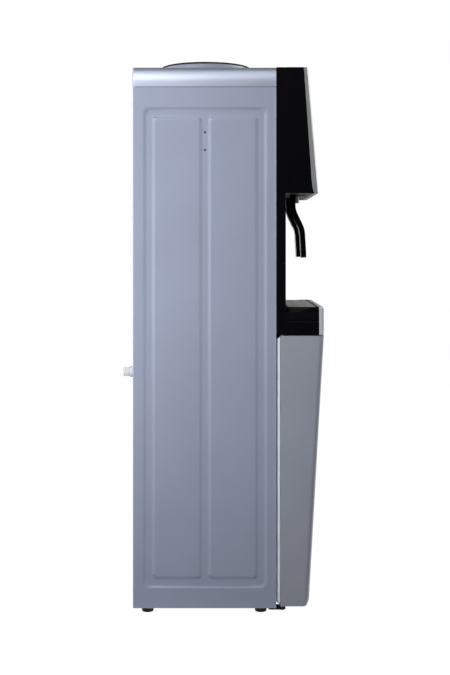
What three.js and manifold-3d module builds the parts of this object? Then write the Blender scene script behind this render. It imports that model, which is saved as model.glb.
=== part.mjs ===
// A floor-standing water cooler: a sheet metal cabinet with a bottle seat on top, a moulded front with two push
// taps over a drip tray, a storage space with a door below, and cold and hot tanks inside.
// Lengths are in millimetres. +Z is up, the front faces -Y, and the floor is at height zero.
// A depth is counted forwards from the rear edge of the metal sides, and a height from the floor.

import * as THREE from "three";
import { mergeVertices } from "three/addons/utils/BufferGeometryUtils.js";
import Module from "manifold-3d";

const wasm = await Module();
wasm.setup();

// Shared sizes
const sheet = 1;
const wall = 2.5;
const fit = 0.3;
const overrun = 5;
const roundSides = 20;
const smallSides = 8;

// Metal cabinet
const cabinetWidth = 308;
const footHeight = 15;
const returnWidth = 14;
const channelRearMargin = 19;
const channelFrontMargin = 17;
const channelTopMargin = 36;
const channelBottomMargin = 36;
const channelWidth = 20.5;
const channelSlope = 4.5;
const channelCorner = 6;
const pressDepth = 1.6;
const holderHoleRadius = 1.8;
const holderHolePitch = 32;
const holderHoleDrop = 81;
const baseThickness = 2;
const deckRearGap = 62;

// Feet
const footTopRadius = 12;
const footBottomRadius = 10.5;
const footStemRadius = 4;
const footSideInset = 34;
const footRearInset = 25;
const footFrontInset = 27;

// Top cover and bottle seat
const frontOverhang = 1;
const coverHeight = 36;
const coverRearOverhang = 1.5;
const coverCorner = 13;
const coverCrown = 8;
const collarRadius = 86;
const collarWall = 8;
const collarHeight = 18;
const seatNeckRadius = 37;
const seatConeDrop = 34;
const seatNeckDrop = 50;
const seatLipWidth = 6;
const probeRadius = 12;
const probeTopInset = 9;
const probeRoundShare = 0.5;
const probeHoleRadius = 5;
const probeHoleCircle = 23;
const probeHoleCount = 6;
const probeWindowWidth = 6;
const probeWindowHeight = 12;

// Moulded front column and head
const columnDepth = 17;
const doorFloorGap = 3.5;
const doorHeight = 488;
const ledgeGap = 2;
const ledgeHeight = 49.7;
const nicheHeight = 205.6;
const headProjection = 59.2;
const headTaper = 19;
const headCorner = 10;
const fasciaThickness = 10;
const windowWidth = 150;
const windowHeight = 64;
const windowTopInset = 52;
const windowLip = 6;
const lensRadius = 2.5;
const lensPitch = 26;
const lensProud = 0.6;
const lensLength = 12;

// Taps and levers
const tapSpacing = 148;
const tapAxisRise = 12.2;
const tapBarrelRadius = 7;
const tapTailLength = 26;
const tapFlangeRadius = 9.2;
const tapFlangeThickness = 3;
const spoutReach = 24;
const spoutDrop = 15;
const spoutTopRadius = 4.5;
const spoutBottomRadius = 5;
const spoutBoreRadius = 2.5;
const towerRise = 13;
const chamberRadius = 4.5;
const chamberHeight = 11;
const stemRadius = 2;
const plugHeight = 5;
const plugPlay = 0.4;
const leverPivotReach = 11;
const leverPivotRise = 22.2;
const leverWidth = 32;
const leverThickness = 9.5;
const leverPlay = 1;
const leverNose = 5;
const leverHeelReach = 19;
const leverNeckReach = 16;
const leverNeckDrop = 22;
const leverKneeReach = 17;
const leverKneeDrop = 51;
const leverShinReach = 34;
const leverShinDrop = 87;
const leverToeReach = 37;
const leverLength = 139;
const leverForkDrop = 80;
const leverPinRadius = 2;
const leverPinBoss = 6;
const leverPinProud = 2;
const tapOpeningPlay = 3;
const tapOpeningRear = 5;
const tapOpeningFront = 32;

// Ledge, drip tray and grille
const ledgeProjection = 69.3;
const ledgeTrimThickness = 9;
const ledgeCorner = 8;
const ledgeSideWall = 12;
const ledgeFloor = 5;
const scoopReach = 12;
const scoopRadius = 65;
const scoopDrop = 9;
const trayWall = 2;
const grilleThickness = 3;
const grilleSeat = 3;
const grilleSlotWidth = 6;
const grilleSlotPitch = 17;
const grilleRows = 2;
const grilleBridge = 8;

// Storage space
const linerRimWidth = 12;
const shelfThickness = 4;
const shelfHeight = 262;
const shelfFrontGap = 16;
const railWidth = 6;
const railHeight = 4;

// Door and hinge
const doorTaper = 27.5;
const doorCorner = 10;
const doorLinerThickness = 2.2;
const doorLinerOverlap = 8;
const doorRim = 10;
const gasketThickness = 4.5;
const gasketWidth = 9;
const gasketSideInset = 8.5;
const gasketEndInset = 1;
const hingeSideInset = 10;
const hingeSetForward = 11.2;
const hingePinRadius = 2.5;
const hingePinEngagement = 12;
const hingePinHeadRadius = 3.6;
const hingePinHead = 2;
const hingeBossRadius = 5.5;
const bracketThickness = 2.4;
const bracketWidth = 26;
const bracketTail = 14;
const bracketNose = 6;
const shoulderRadius = 4;
const gripHeight = 100;
const gripDepth = 14;
const gripOpening = 25;
const gripSetForward = 14;

// Cold side
const coldTankRadius = 60;
const coldTankHeight = 185;
const outletShare = 0.75;
const coldOutletRise = 25;
const tankWall = 1;
const coldFoam = 18;
const coldFoamTopGap = 19;
const coldFoamCorner = 20;
const coldBlockSize = 40;
const moduleThickness = 4;
const moduleSize = 40;
const sinkBase = 5;
const sinkFinLength = 24;
const sinkWidth = 100;
const sinkHeight = 100;
const sinkFinThickness = 1.5;
const sinkFinPitch = 9;
const fanSize = 80;
const fanThickness = 15;
const fanBoreRadius = 37;
const fanHubRadius = 12;
const fanBladeCount = 7;
const fanBladeTurn = 0.6;
const fanBladeThickness = 1.5;
const fanBladeChord = 12;
const fanTipPlay = 2;
const fanSpokeWidth = 4;
const fanSpokeThickness = 1.5;
const guardRadius = 43;
const guardThickness = 2;
const guardRim = 5;
const guardRingPitch = 8.5;
const guardRingCount = 3;
const guardBar = 2.5;

// Hot side
const hotTankRadius = 50;
const hotTankLift = 22;
const hotTankCover = 22;
const hotFoam = 20;
const hotOutletX = -25;
const feedPipeRadius = 5.5;
const bracketPlateDepth = 120;
const bracketFlange = 20;
const crossingGap = 14.2;

// Hoses
const hoseRadius = 5.5;
const hoseBoreRadius = 4;
const hosePortRadius = 6.8;
const hoseSides = 6;
const hoseSteps = 20;
const hoseStraight = 8;
const hoseBend = 14;
const barbRadius = 3.2;
const barbLength = 7;

// Drain at the rear
const drainBelowDeck = 82.2;
const drainBodyRadius = 10.5;
const drainBodyReach = 17.5;
const drainCapRadius = 8.5;
const drainCapReach = 12.2;
const drainSpigotRadius = 5;
const drainStemRadius = 7;
const drainTailReach = 24;
const capWall = 2;

// Mains side
const inletWidth = 48;
const inletHeight = 26;
const inletDepth = 22;
const inletSocketWidth = 26;
const inletSocketHeight = 17;
const inletSocketDepth = 18;
const inletPinLength = 9;
const inletPinWidth = 2;
const inletPinHeight = 5;
const inletPinPitch = 7;
const inletSideInset = 61.1;
const inletRise = 60;
const bezel = 2.2;
const bezelLip = 3;
const switchWidth = 44;
const switchHeight = 25;
const switchDepth = 18;
const switchPocketWidth = 15;
const switchPocketHeight = 21;
const switchPocketDepth = 12;
const switchPitch = 20;
const switchSideInset = 55.1;
const switchRise = 106.8;
const rockerTilt = 10;
const rockerHalfHeight = 9;
const rockerEnd = 7.5;
const rockerMiddle = 5.5;
const rockerRoot = 6;
const rockerHeel = 3;
const rockerPlay = 0.6;
const rockerPivotDepth = 4;
const rockerPinRadius = 1.2;
const rockerPinReach = 1;
const supplyWidth = 120;
const supplyDepth = 40;
const supplyHeight = 80;
const supplySideInset = 51.1;
const supplyRearGap = 8;
const supplySlotWidth = 3;
const supplySlotPitch = 12;
const ventSlotHeight = 4;
const ventSlotWidth = 90;
const ventSlotPitch = 11;
const ventSlotCount = 6;
const ventRise = 116.8;

// Heights
const doorBottom = footHeight + doorFloorGap;
const doorTop = doorBottom + doorHeight;
const ledgeBottom = doorTop + ledgeGap;
const ledgeTop = ledgeBottom + ledgeHeight;
const headBottom = ledgeTop + nicheHeight;
const tapHeight = headBottom + tapAxisRise;
const deckTop = ledgeBottom - fit;
const linerTop = deckTop - sheet - fit;
const linerBottom = footHeight + baseThickness + fit;
const drainHeight = deckTop - drainBelowDeck;

// The cold tank stands where its outlet meets the taps, and the hot tank fills the height below it.
const coldTankBottom = tapHeight - coldOutletRise;
const foamBottom = coldTankBottom - coldFoam;
const foamTop = coldTankBottom + coldTankHeight;
const bracketTop = foamBottom - fit;
const jacketBottom = deckTop + fit;
const jacketTop = bracketTop - bracketFlange - crossingGap;
const hotTankBottom = jacketBottom + hotTankLift;
const hotTankTop = jacketTop - hotTankCover;
const cabinetTop = foamTop + coldFoamTopGap;
const coverBottom = cabinetTop + fit;
const coverTop = coverBottom + coverHeight;
const collarTop = coverTop + collarHeight;
const headHeight = coverTop - headBottom;

// Depths: the bottle stands over the tanks, as far forward as the fan, heat sink and module behind them need.
const rearPanelRear = sheet + fit;
const rearPanelFront = rearPanelRear + sheet;
const foamHalf = coldTankRadius + coldFoam;
const sinkDepth = sinkBase + sinkFinLength;
const seatDepth = rearPanelFront + fanThickness + sinkDepth + moduleThickness + foamHalf + 4 * fit;
const cabinetDepth = 2 * seatDepth;
const columnRear = cabinetDepth + fit;
const columnFront = columnRear + columnDepth;
const headRear = columnFront + fit;
const headBottomFront = columnFront + headProjection;
const headLean = headTaper / headHeight;
const ledgeFront = columnFront + ledgeProjection;
const doorLean = doorTaper / doorHeight;
const gasketRear = cabinetDepth + fit;
const doorLinerRear = gasketRear + gasketThickness + fit;
const doorRear = doorLinerRear + doorLinerThickness + fit;
const hingeDepth = cabinetDepth + hingeSetForward;
const drainReach = drainBodyReach + fit + drainCapReach;

// Widths
const frontWidth = cabinetWidth + 2 * frontOverhang;
const insideHalf = cabinetWidth / 2 - sheet - pressDepth - fit;
const linerHalf = cabinetWidth / 2 - returnWidth - fit;
const hingeX = hingeSideInset - frontWidth / 2;
const coldOutletX = coldTankRadius * outletShare;
const inletX = insideHalf - inletSideInset;
const switchX = insideHalf - switchSideInset;
const supplyX = supplySideInset + supplyWidth / 2 - insideHalf;

// The rear edge of the metal sides lies here, so that the whole object is centred on the origin.
const rearY = (ledgeFront - drainReach) / 2;
const toY = (depth) => rearY - depth;

// A closed geometry as a solid, and a solid as a geometry
function toSolid(geometry) {
  const bare = geometry.clone();
  bare.deleteAttribute("normal");
  bare.deleteAttribute("uv");
  const merged = mergeVertices(bare);
  const vertProperties = merged.attributes.position.array;
  const triVerts = new Uint32Array(merged.index.array);
  return new wasm.Manifold(new wasm.Mesh({ numProp: 3, vertProperties, triVerts }));
}

function toGeometry(solid) {
  const mesh = solid.getMesh();
  const geometry = new THREE.BufferGeometry();
  geometry.setAttribute("position", new THREE.BufferAttribute(mesh.vertProperties, 3));
  geometry.setIndex(new THREE.BufferAttribute(mesh.triVerts, 1));
  geometry.computeVertexNormals();
  return geometry;
}

const join = (first, ...more) => toGeometry(more.reduce((all, g) => all.add(toSolid(g)), toSolid(first)));
const cut = (first, ...more) => toGeometry(more.reduce((left, g) => left.subtract(toSolid(g)), toSolid(first)));
const overlap = (a, b) => toGeometry(toSolid(a).intersect(toSolid(b)));

// A block between two depths, standing on a height, with the middle of its width at x
function block(width, rear, front, bottom, top, x = 0) {
  const geometry = new THREE.BoxGeometry(width, front - rear, top - bottom);
  return geometry.translate(x, toY((rear + front) / 2), (bottom + top) / 2);
}

// Round bars that stand upright, lie along the depth, and lie across the cooler
function post(radius, x, depth, bottom, top, { topRadius = radius, sides = roundSides } = {}) {
  const geometry = new THREE.CylinderGeometry(topRadius, radius, top - bottom, sides);
  return geometry.rotateX(Math.PI / 2).translate(x, toY(depth), (bottom + top) / 2);
}

function rod(radius, x, height, rear, front, sides = roundSides) {
  const geometry = new THREE.CylinderGeometry(radius, radius, front - rear, sides);
  return geometry.translate(x, toY((rear + front) / 2), height);
}

function spindle(radius, length, x, depth, height, sides = smallSides) {
  const geometry = new THREE.CylinderGeometry(radius, radius, length, sides);
  return geometry.rotateZ(Math.PI / 2).translate(x, toY(depth), height);
}

// A rectangle with its four corners rounded, between two places each way
function roundedRect(left, right, low, high, radius, hole = false) {
  const shape = hole ? new THREE.Path() : new THREE.Shape();
  shape.moveTo(left + radius, low);
  shape.lineTo(right - radius, low);
  shape.absarc(right - radius, low + radius, radius, -Math.PI / 2, 0);
  shape.lineTo(right, high - radius);
  shape.absarc(right - radius, high - radius, radius, 0, Math.PI / 2);
  shape.lineTo(left + radius, high);
  shape.absarc(left + radius, high - radius, radius, Math.PI / 2, Math.PI);
  shape.lineTo(left, low + radius);
  shape.absarc(left + radius, low + radius, radius, Math.PI, 1.5 * Math.PI);
  return shape;
}

// A rectangle in plan that is square at the rear and has two rounded front corners
function frontOutline(width, rear, front, radius) {
  const shape = new THREE.Shape();
  const half = width / 2;
  shape.moveTo(-half, toY(rear));
  shape.lineTo(-half, toY(front - radius));
  shape.absarc(radius - half, toY(front - radius), radius, Math.PI, 1.5 * Math.PI);
  shape.lineTo(half - radius, toY(front));
  shape.absarc(half - radius, toY(front - radius), radius, -Math.PI / 2, 0);
  shape.lineTo(half, toY(rear));
  return shape;
}

// The outline of a strip of even thickness that follows a line of points
function ribbon(points, thickness) {
  const line = points.map(([u, v]) => new THREE.Vector2(u, v));
  const across = line.slice(1).map((p, i) => {
    const way = p.clone().sub(line[i]).normalize();
    return new THREE.Vector2(-way.y, way.x);
  });
  const offsets = line.map((p, i) => {
    const a = across[Math.max(i - 1, 0)];
    const b = across[Math.min(i, across.length - 1)];
    return a.clone().add(b).multiplyScalar(thickness / 2 / (1 + a.dot(b)));
  });
  const left = line.map((p, i) => p.clone().add(offsets[i]));
  const right = line.map((p, i) => p.clone().sub(offsets[i]));
  return new THREE.Shape([...left, ...right.reverse()]);
}

// A plan outline pulled upwards, straight or leaning: lean is how far it moves back for each step up
function upright(shape, bottom, top, lean = 0, curveSegments = 4) {
  const geometry = new THREE.ExtrudeGeometry(shape, { depth: top - bottom, bevelEnabled: false, curveSegments });
  geometry.applyMatrix4(new THREE.Matrix4().makeShear(0, 0, 0, 0, 0, lean));
  return geometry.translate(0, 0, bottom);
}

// An outline drawn in depth and height, pulled across the cooler
function across(shape, width, x = 0, options = {}) {
  const settings = { depth: width, bevelEnabled: false, curveSegments: 4, ...options };
  const geometry = new THREE.ExtrudeGeometry(shape, settings).translate(0, 0, -width / 2);
  const forward = new THREE.Vector3(0, -1, 0);
  const up = new THREE.Vector3(0, 0, 1);
  const turn = new THREE.Matrix4().makeBasis(forward, up, forward.clone().cross(up));
  return geometry.applyMatrix4(turn).translate(x, rearY, 0);
}

// An outline drawn as seen from the front, pulled forwards from one depth to another
function facing(shape, rear, front, curveSegments = 4) {
  const settings = { depth: front - rear, bevelEnabled: false, curveSegments };
  return new THREE.ExtrudeGeometry(shape, settings).rotateX(Math.PI / 2).translate(0, toY(rear), 0);
}

// A closed outline of radius and height, turned about an upright axis
function turned(points, x, depth, sides = roundSides) {
  const closed = points.map(([r, z]) => new THREE.Vector2(r, z));
  if (THREE.ShapeUtils.area(closed) < 0) closed.reverse();
  if (closed[0].x > 0) closed.push(closed[0].clone());
  const geometry = new THREE.LatheGeometry(closed, sides);
  return geometry.rotateX(Math.PI / 2).translate(x, toY(depth), 0);
}

// A block with rounded corners whose upper edges are rounded over
function crowned(width, rear, front, bottom, top, corner, crown) {
  const half = width / 2 - crown;
  const outline = roundedRect(-half, half, toY(front - crown), toY(rear + crown), corner - crown);
  const settings = { depth: top - bottom, bevelThickness: crown, bevelSize: crown, bevelSegments: 4 };
  const geometry = new THREE.ExtrudeGeometry(outline, { ...settings, curveSegments: 4 });
  return geometry.translate(0, 0, bottom - crown);
}

// A hose along a smooth line through points given as x, depth and height
function hose(points) {
  const places = points.map(([x, depth, height]) => new THREE.Vector3(x, toY(depth), height));
  const section = new THREE.Shape().absarc(0, 0, hoseRadius, 0, 2 * Math.PI);
  section.holes.push(new THREE.Path().absarc(0, 0, hoseBoreRadius, 0, 2 * Math.PI));
  return new THREE.ExtrudeGeometry(section, {
    steps: hoseSteps,
    bevelEnabled: false,
    curveSegments: hoseSides / 2,
    extrudePath: new THREE.CatmullRomCurve3(places),
  });
}

// Finishes
const finish = (color, roughness, metalness = 0) => new THREE.MeshStandardMaterial({ color, roughness, metalness });
const silverPaint = finish(0xa5acc0, 0.42, 0.45);
const silverMoulding = finish(0xb4b8c2, 0.35, 0.35);
const glossBlack = finish(0x0b0b0d, 0.12);
const satinBlack = finish(0x141416, 0.45);
const whitePlastic = finish(0xe4e8f0, 0.45);
const paleRubber = finish(0xd2d8e2, 0.6);
const bareSteel = finish(0xb8bcc2, 0.3, 0.9);
const zincSheet = finish(0x9a9fa6, 0.5, 0.8);
const aluminium = finish(0xb6b9bd, 0.45, 0.85);
const foam = finish(0xe9e7e0, 0.9);
const blackRubber = finish(0x17171a, 0.8);
const redLens = finish(0xb02018, 0.2);
const greenLens = finish(0x2a8c3a, 0.2);
const paleSilicone = finish(0xc9bcc0, 0.5);

const cooler = new THREE.Group();

function add(name, geometry, material) {
  const mesh = new THREE.Mesh(geometry, material.clone());
  mesh.name = name;
  cooler.add(mesh);
}

// Side panels: folded sheets with a pressed channel that frames two raised fields
function channelOutline() {
  const low = footHeight + channelBottomMargin;
  const high = cabinetTop - channelTopMargin;
  const rear = channelRearMargin;
  const front = cabinetDepth - channelFrontMargin;
  const s = channelSlope;
  const outline = roundedRect(rear + s, front - s, low + s, high - s, channelCorner);
  const fieldDepth = (front - rear - 3 * channelWidth) / 2;
  for (const start of [rear + channelWidth, front - channelWidth - fieldDepth]) {
    const field = [start - s, start + fieldDepth + s, low + channelWidth - s, high - channelWidth + s];
    outline.holes.push(roundedRect(...field, channelCorner, true));
  }
  return outline;
}

function channelForm(side, inwards) {
  const options = { bevelEnabled: true, bevelThickness: pressDepth, bevelSize: channelSlope, bevelSegments: 1 };
  const length = overrun + 2 * pressDepth;
  const x = side * (cabinetWidth / 2 - pressDepth - inwards + length / 2);
  return across(channelOutline(), overrun, x, options);
}

function sidePanel(side) {
  const edge = side * (cabinetWidth / 2 - returnWidth);
  const face = side * (cabinetWidth / 2 - sheet / 2);
  const rear = toY(sheet / 2);
  const front = toY(cabinetDepth - sheet / 2);
  const strip = ribbon([[edge, rear], [face, rear], [face, front], [edge, front]], sheet);
  const folded = upright(strip, footHeight, cabinetTop);
  return cut(join(folded, channelForm(side, sheet)), channelForm(side, 0));
}

const channelMiddle = (channelRearMargin + cabinetDepth - channelFrontMargin) / 2;
const holderTop = cabinetTop - holderHoleDrop;
const holderHoles = [holderTop, holderTop - holderHolePitch].map((height) =>
  spindle(holderHoleRadius, returnWidth, -cabinetWidth / 2, channelMiddle, height),
);
add("side_panel_left", cut(sidePanel(-1), ...holderHoles), silverPaint);
add("side_panel_right", sidePanel(1), silverPaint);

// Base plate and feet: each foot has a stem that passes through the plate
const footPlaces = [
  ["foot_rear_left", -1, footRearInset],
  ["foot_rear_right", 1, footRearInset],
  ["foot_front_left", -1, cabinetDepth - footFrontInset],
  ["foot_front_right", 1, cabinetDepth - footFrontInset],
].map(([name, side, depth]) => [name, side * (cabinetWidth / 2 - footSideInset), depth]);

const footTop = footHeight - fit;
const stemTop = footHeight + baseThickness - fit;
const footHoles = footPlaces.map(([, x, depth]) => post(footStemRadius + fit, x, depth, 0, cabinetTop));
const basePlate = block(2 * insideHalf, rearPanelFront + fit, cabinetDepth - sheet - fit, footHeight,
  footHeight + baseThickness);
add("base_plate", cut(basePlate, ...footHoles), zincSheet);

for (const [name, x, depth] of footPlaces) {
  const pad = post(footBottomRadius, x, depth, 0, footTop, { topRadius: footTopRadius });
  add(name, join(pad, post(footStemRadius, x, depth, 0, stemTop, { sides: smallSides })), blackRubber);
}

// Rear panel: it lies inside the rear returns, with openings for the fan, air, drain, inlet and switches
const coolingHeight = coldTankBottom + coldTankHeight / 2;
const inletHeightCentre = inletRise + footHeight;
const switchCentre = deckTop + switchRise;

function ventSlots() {
  return Array.from({ length: ventSlotCount }, (_, i) => {
    const low = deckTop + ventRise + i * ventSlotPitch;
    return block(ventSlotWidth, 0, overrun, low, low + ventSlotHeight);
  });
}

function rearCutout(x, centre, width, height) {
  return block(width + 2 * fit, 0, overrun, centre - height / 2 - fit, centre + height / 2 + fit, x);
}

const rearPlate = block(2 * insideHalf, rearPanelRear, rearPanelFront, footHeight, cabinetTop - fit);
add("rear_panel", cut(
  rearPlate,
  rod(fanBoreRadius, 0, coolingHeight, 0, overrun),
  rod(drainStemRadius + fit, 0, drainHeight, 0, overrun),
  rearCutout(inletX, inletHeightCentre, inletWidth, inletHeight),
  rearCutout(switchX, switchCentre, switchWidth, switchHeight),
  ...ventSlots(),
), silverPaint);

// Deck above the storage space and the bracket that carries the cold tank
const deckFront = cabinetDepth - sheet - fit;
const feedHoleRadius = feedPipeRadius + 2 * fit;
add("deck_plate", block(2 * insideHalf, deckRearGap, deckFront, deckTop - sheet, deckTop), zincSheet);

const bracketRear = seatDepth - bracketPlateDepth / 2;
const bracketOutline = ribbon([
  [-insideHalf + sheet / 2, bracketTop - bracketFlange],
  [-insideHalf + sheet / 2, bracketTop - sheet / 2],
  [insideHalf - sheet / 2, bracketTop - sheet / 2],
  [insideHalf - sheet / 2, bracketTop - bracketFlange],
], sheet);
const tankBracket = facing(bracketOutline, bracketRear, bracketRear + bracketPlateDepth);
add("tank_bracket", cut(tankBracket, post(feedHoleRadius, 0, seatDepth, 0, cabinetTop)), zincSheet);

// Top cover with the raised collar that frames the bottle seat
const seatHole = collarRadius - collarWall;
function coverForm(inset) {
  const front = cabinetDepth + coverCrown + coverCorner;
  return crowned(frontWidth - 2 * inset, inset - coverRearOverhang, front - inset, coverBottom - coverCrown,
    coverTop - inset, coverCorner, coverCrown);
}
const coverLimit = block(2 * frontWidth, -overrun - coverRearOverhang, cabinetDepth, coverBottom, coverTop + overrun);
const coverHollowLimit = block(2 * frontWidth, -overrun, cabinetDepth - wall, coverBottom - overrun, coverTop);
const collar = post(collarRadius, 0, seatDepth, coverTop - wall, collarTop, { sides: 2 * roundSides });
add("top_cover", cut(
  join(overlap(coverForm(0), coverLimit), collar),
  overlap(coverForm(wall), coverHollowLimit),
  post(seatHole, 0, seatDepth, 0, collarTop + overrun, { sides: 2 * roundSides }),
), silverMoulding);

// Bottle seat: a funnel that hangs in the collar, with a lip at the foot of its neck
const seatLipHeight = collarTop + fit + wall / 2;
const seatWallRadius = seatHole - fit - wall / 2;
const seatNeckTop = coverTop - seatConeDrop;
const seatNeckBottom = coverTop - seatNeckDrop;
const seatLine = [
  [collarRadius, seatLipHeight],
  [seatWallRadius, seatLipHeight],
  [seatWallRadius, coverTop],
  [seatNeckRadius, seatNeckTop],
  [seatNeckRadius, seatNeckBottom],
  [seatNeckRadius - seatLipWidth, seatNeckBottom],
];
const seatSection = ribbon(seatLine, wall).getPoints().map((p) => [p.x, p.y]);
add("bottle_seat", turned(seatSection, 0, seatDepth, 2 * roundSides), satinBlack);

// Probe that opens the bottle's cap: a pierced disc with a round-topped spike
const probeBottom = seatNeckBottom + wall / 2 + fit;
const probeTop = collarTop - probeTopInset;
const probeDisc = seatNeckRadius - wall / 2 - fit;
const probeShoulder = probeTop - probeRadius * probeRoundShare;
const probeForm = turned([
  [0, probeBottom],
  [probeDisc, probeBottom],
  [probeDisc, probeBottom + wall],
  [probeRadius, probeBottom + wall],
  [probeRadius, probeShoulder],
  [probeRadius * Math.SQRT1_2, probeTop - (probeTop - probeShoulder) * (1 - Math.SQRT1_2)],
  [0, probeTop],
], 0, seatDepth);
const probeBore = post(probeRadius - wall, 0, seatDepth, probeBottom - overrun, probeShoulder - wall);
const probeHoles = Array.from({ length: probeHoleCount }, (_, i) => {
  const angle = (2 * Math.PI * i) / probeHoleCount;
  const x = probeHoleCircle * Math.cos(angle);
  const depth = seatDepth + probeHoleCircle * Math.sin(angle);
  return post(probeHoleRadius, x, depth, 0, probeBottom + wall + fit, { sides: smallSides });
});
const windowLow = probeShoulder - wall - probeWindowHeight;
const probeWindow = block(2 * probeDisc, seatDepth - probeWindowWidth / 2, seatDepth + probeWindowWidth / 2,
  windowLow, windowLow + probeWindowHeight);
add("bottle_probe", cut(probeForm, probeBore, probeWindow, ...probeHoles), whitePlastic);

// Front column: a shell behind the head, the niche and the ledge
const tapX = { hot: -tapSpacing / 2, cold: tapSpacing / 2 };
const columnHollow = block(frontWidth - 2 * wall, columnRear - overrun, columnFront - wall, ledgeBottom + wall,
  coverTop - wall);
const tapHoles = Object.values(tapX).map((x) => rod(tapBarrelRadius + fit, x, tapHeight, 0, headRear));
const upperHingeHole = post(hingePinRadius + fit, hingeX, hingeDepth, ledgeBottom - overrun,
  ledgeBottom + wall + overrun);
add("front_panel", cut(
  block(frontWidth, columnRear, columnFront, ledgeBottom, coverTop),
  columnHollow,
  upperHingeHole,
  ...tapHoles,
), glossBlack);

// Head shell: top, bottom and sides between the column and the fascia
const fasciaRear = headBottomFront - fasciaThickness;
const shellFront = fasciaRear - fit;
const spoutDepth = columnFront + spoutReach;
const headLimit = block(2 * frontWidth, headRear, headBottomFront, headBottom, coverTop);
const headOutline = frontOutline(frontWidth, 0, shellFront, wall);
const headOuter = overlap(upright(headOutline, headBottom, coverTop, headLean), headLimit);
const tapOpenings = Object.values(tapX).map((x) =>
  block(leverWidth + 2 * tapOpeningPlay, columnFront + tapOpeningRear, columnFront + tapOpeningFront,
    headBottom - overrun, headBottom + wall + overrun, x),
);
const headHollow = block(frontWidth - 2 * wall, 0, headBottomFront, headBottom + wall, coverTop - wall);
add("head_shell", cut(headOuter, headHollow, ...tapOpenings), glossBlack);

// Fascia: a shallow silver pan over the head's open front, with an opening for the control window
const headUpright = (width, rear, front, radius, low = headBottom, high = coverTop) => {
  const back = headLean * (low - headBottom);
  return upright(frontOutline(width, rear - back, front - back, radius), low, high, headLean);
};
const windowTop = coverTop - windowTopInset;
const windowBottom = windowTop - windowHeight;
const fasciaPocket = headUpright(frontWidth - 2 * wall, fasciaRear - overrun, headBottomFront - wall,
  headCorner - wall, headBottom + wall, coverTop - wall);
const windowOpening = block(windowWidth, shellFront - overrun - headTaper, headBottomFront + overrun, windowBottom,
  windowTop);
add("head_fascia", cut(
  headUpright(frontWidth, fasciaRear, headBottomFront, headCorner),
  fasciaPocket,
  windowOpening,
), silverMoulding);

// Control window: a black plate in the fascia's opening, with a flange behind it that holds it in place
const flangeFront = headBottomFront - wall - fit;
const flangeRear = flangeFront - wall;
const lensPlaces = [-lensPitch / 2, lensPitch / 2];
const lensHeight = (windowBottom + windowTop) / 2;
const lensFaceDepth = headBottomFront - headLean * (lensHeight - headBottom);
const lensRear = lensFaceDepth - lensLength;
const windowPlate = join(
  headUpright(windowWidth - 2 * fit, flangeRear, headBottomFront, fit, windowBottom + fit, windowTop - fit),
  headUpright(windowWidth + 2 * windowLip, flangeRear, flangeFront, fit, windowBottom - windowLip,
    windowTop + windowLip),
);
const lensHoles = lensPlaces.map((x) => rod(lensRadius + fit, x, lensHeight, 0, headBottomFront, smallSides));
add("control_window", cut(windowPlate, ...lensHoles), glossBlack);

[["heating_lens", redLens], ["cooling_lens", greenLens]].forEach(([name, lens], i) => {
  const light = rod(lensRadius, lensPlaces[i], lensHeight, lensRear, lensFaceDepth + lensProud, smallSides);
  add(name, light, lens);
});

// Taps: a body with a barrel through the column, a valve tower, a spout and a boss for the lever pin
const pivotDepth = spoutDepth + leverPivotReach;
const pivotHeight = headBottom + leverPivotRise;
const towerTop = tapHeight + towerRise;
const spoutBottom = headBottom - spoutDrop;
const chamberBottom = tapHeight - chamberHeight / 2;
const tapTail = columnRear - tapTailLength + columnDepth;
const leverPinBore = (x) => spindle(leverPinRadius + fit, frontWidth / 2, x, pivotDepth, pivotHeight);

function tapBody(x) {
  const flangeRearDepth = columnFront + fit;
  const body = join(
    rod(tapBarrelRadius, x, tapHeight, tapTail, spoutDepth),
    rod(barbRadius, x, tapHeight, tapTail - barbLength, spoutDepth, smallSides),
    rod(tapFlangeRadius, x, tapHeight, flangeRearDepth, flangeRearDepth + tapFlangeThickness),
    post(tapBarrelRadius, x, spoutDepth, tapHeight - tapBarrelRadius, towerTop),
    post(spoutBottomRadius, x, spoutDepth, spoutBottom, tapHeight, { topRadius: spoutTopRadius }),
    block(2 * tapBarrelRadius - 2 * fit, spoutDepth, pivotDepth, tapHeight, towerTop, x),
    spindle(leverPinBoss, 2 * tapBarrelRadius - 2 * fit, x, pivotDepth, pivotHeight),
  );
  return cut(
    body,
    post(spoutBoreRadius, x, spoutDepth, spoutBottom - overrun, tapHeight, { sides: smallSides }),
    post(chamberRadius, x, spoutDepth, chamberBottom, chamberBottom + chamberHeight, { sides: smallSides }),
    post(stemRadius + fit, x, spoutDepth, tapHeight, towerTop + overrun, { sides: smallSides }),
    rod(barbRadius - tankWall, x, tapHeight, 0, spoutDepth, smallSides),
    leverPinBore(x),
  );
}

// Valve plunger: a stem with a plug in the chamber and a cross pin that the lever lifts
const crossPinHeight = pivotHeight + leverThickness / 2 + fit + stemRadius;
function plunger(x) {
  const plugBottom = chamberBottom + fit;
  return join(
    post(stemRadius, x, spoutDepth, plugBottom, crossPinHeight, { sides: smallSides }),
    post(chamberRadius - plugPlay, x, spoutDepth, plugBottom, plugBottom + plugHeight, { sides: smallSides }),
    spindle(stemRadius, leverWidth, x, spoutDepth, crossPinHeight),
  );
}

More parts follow.
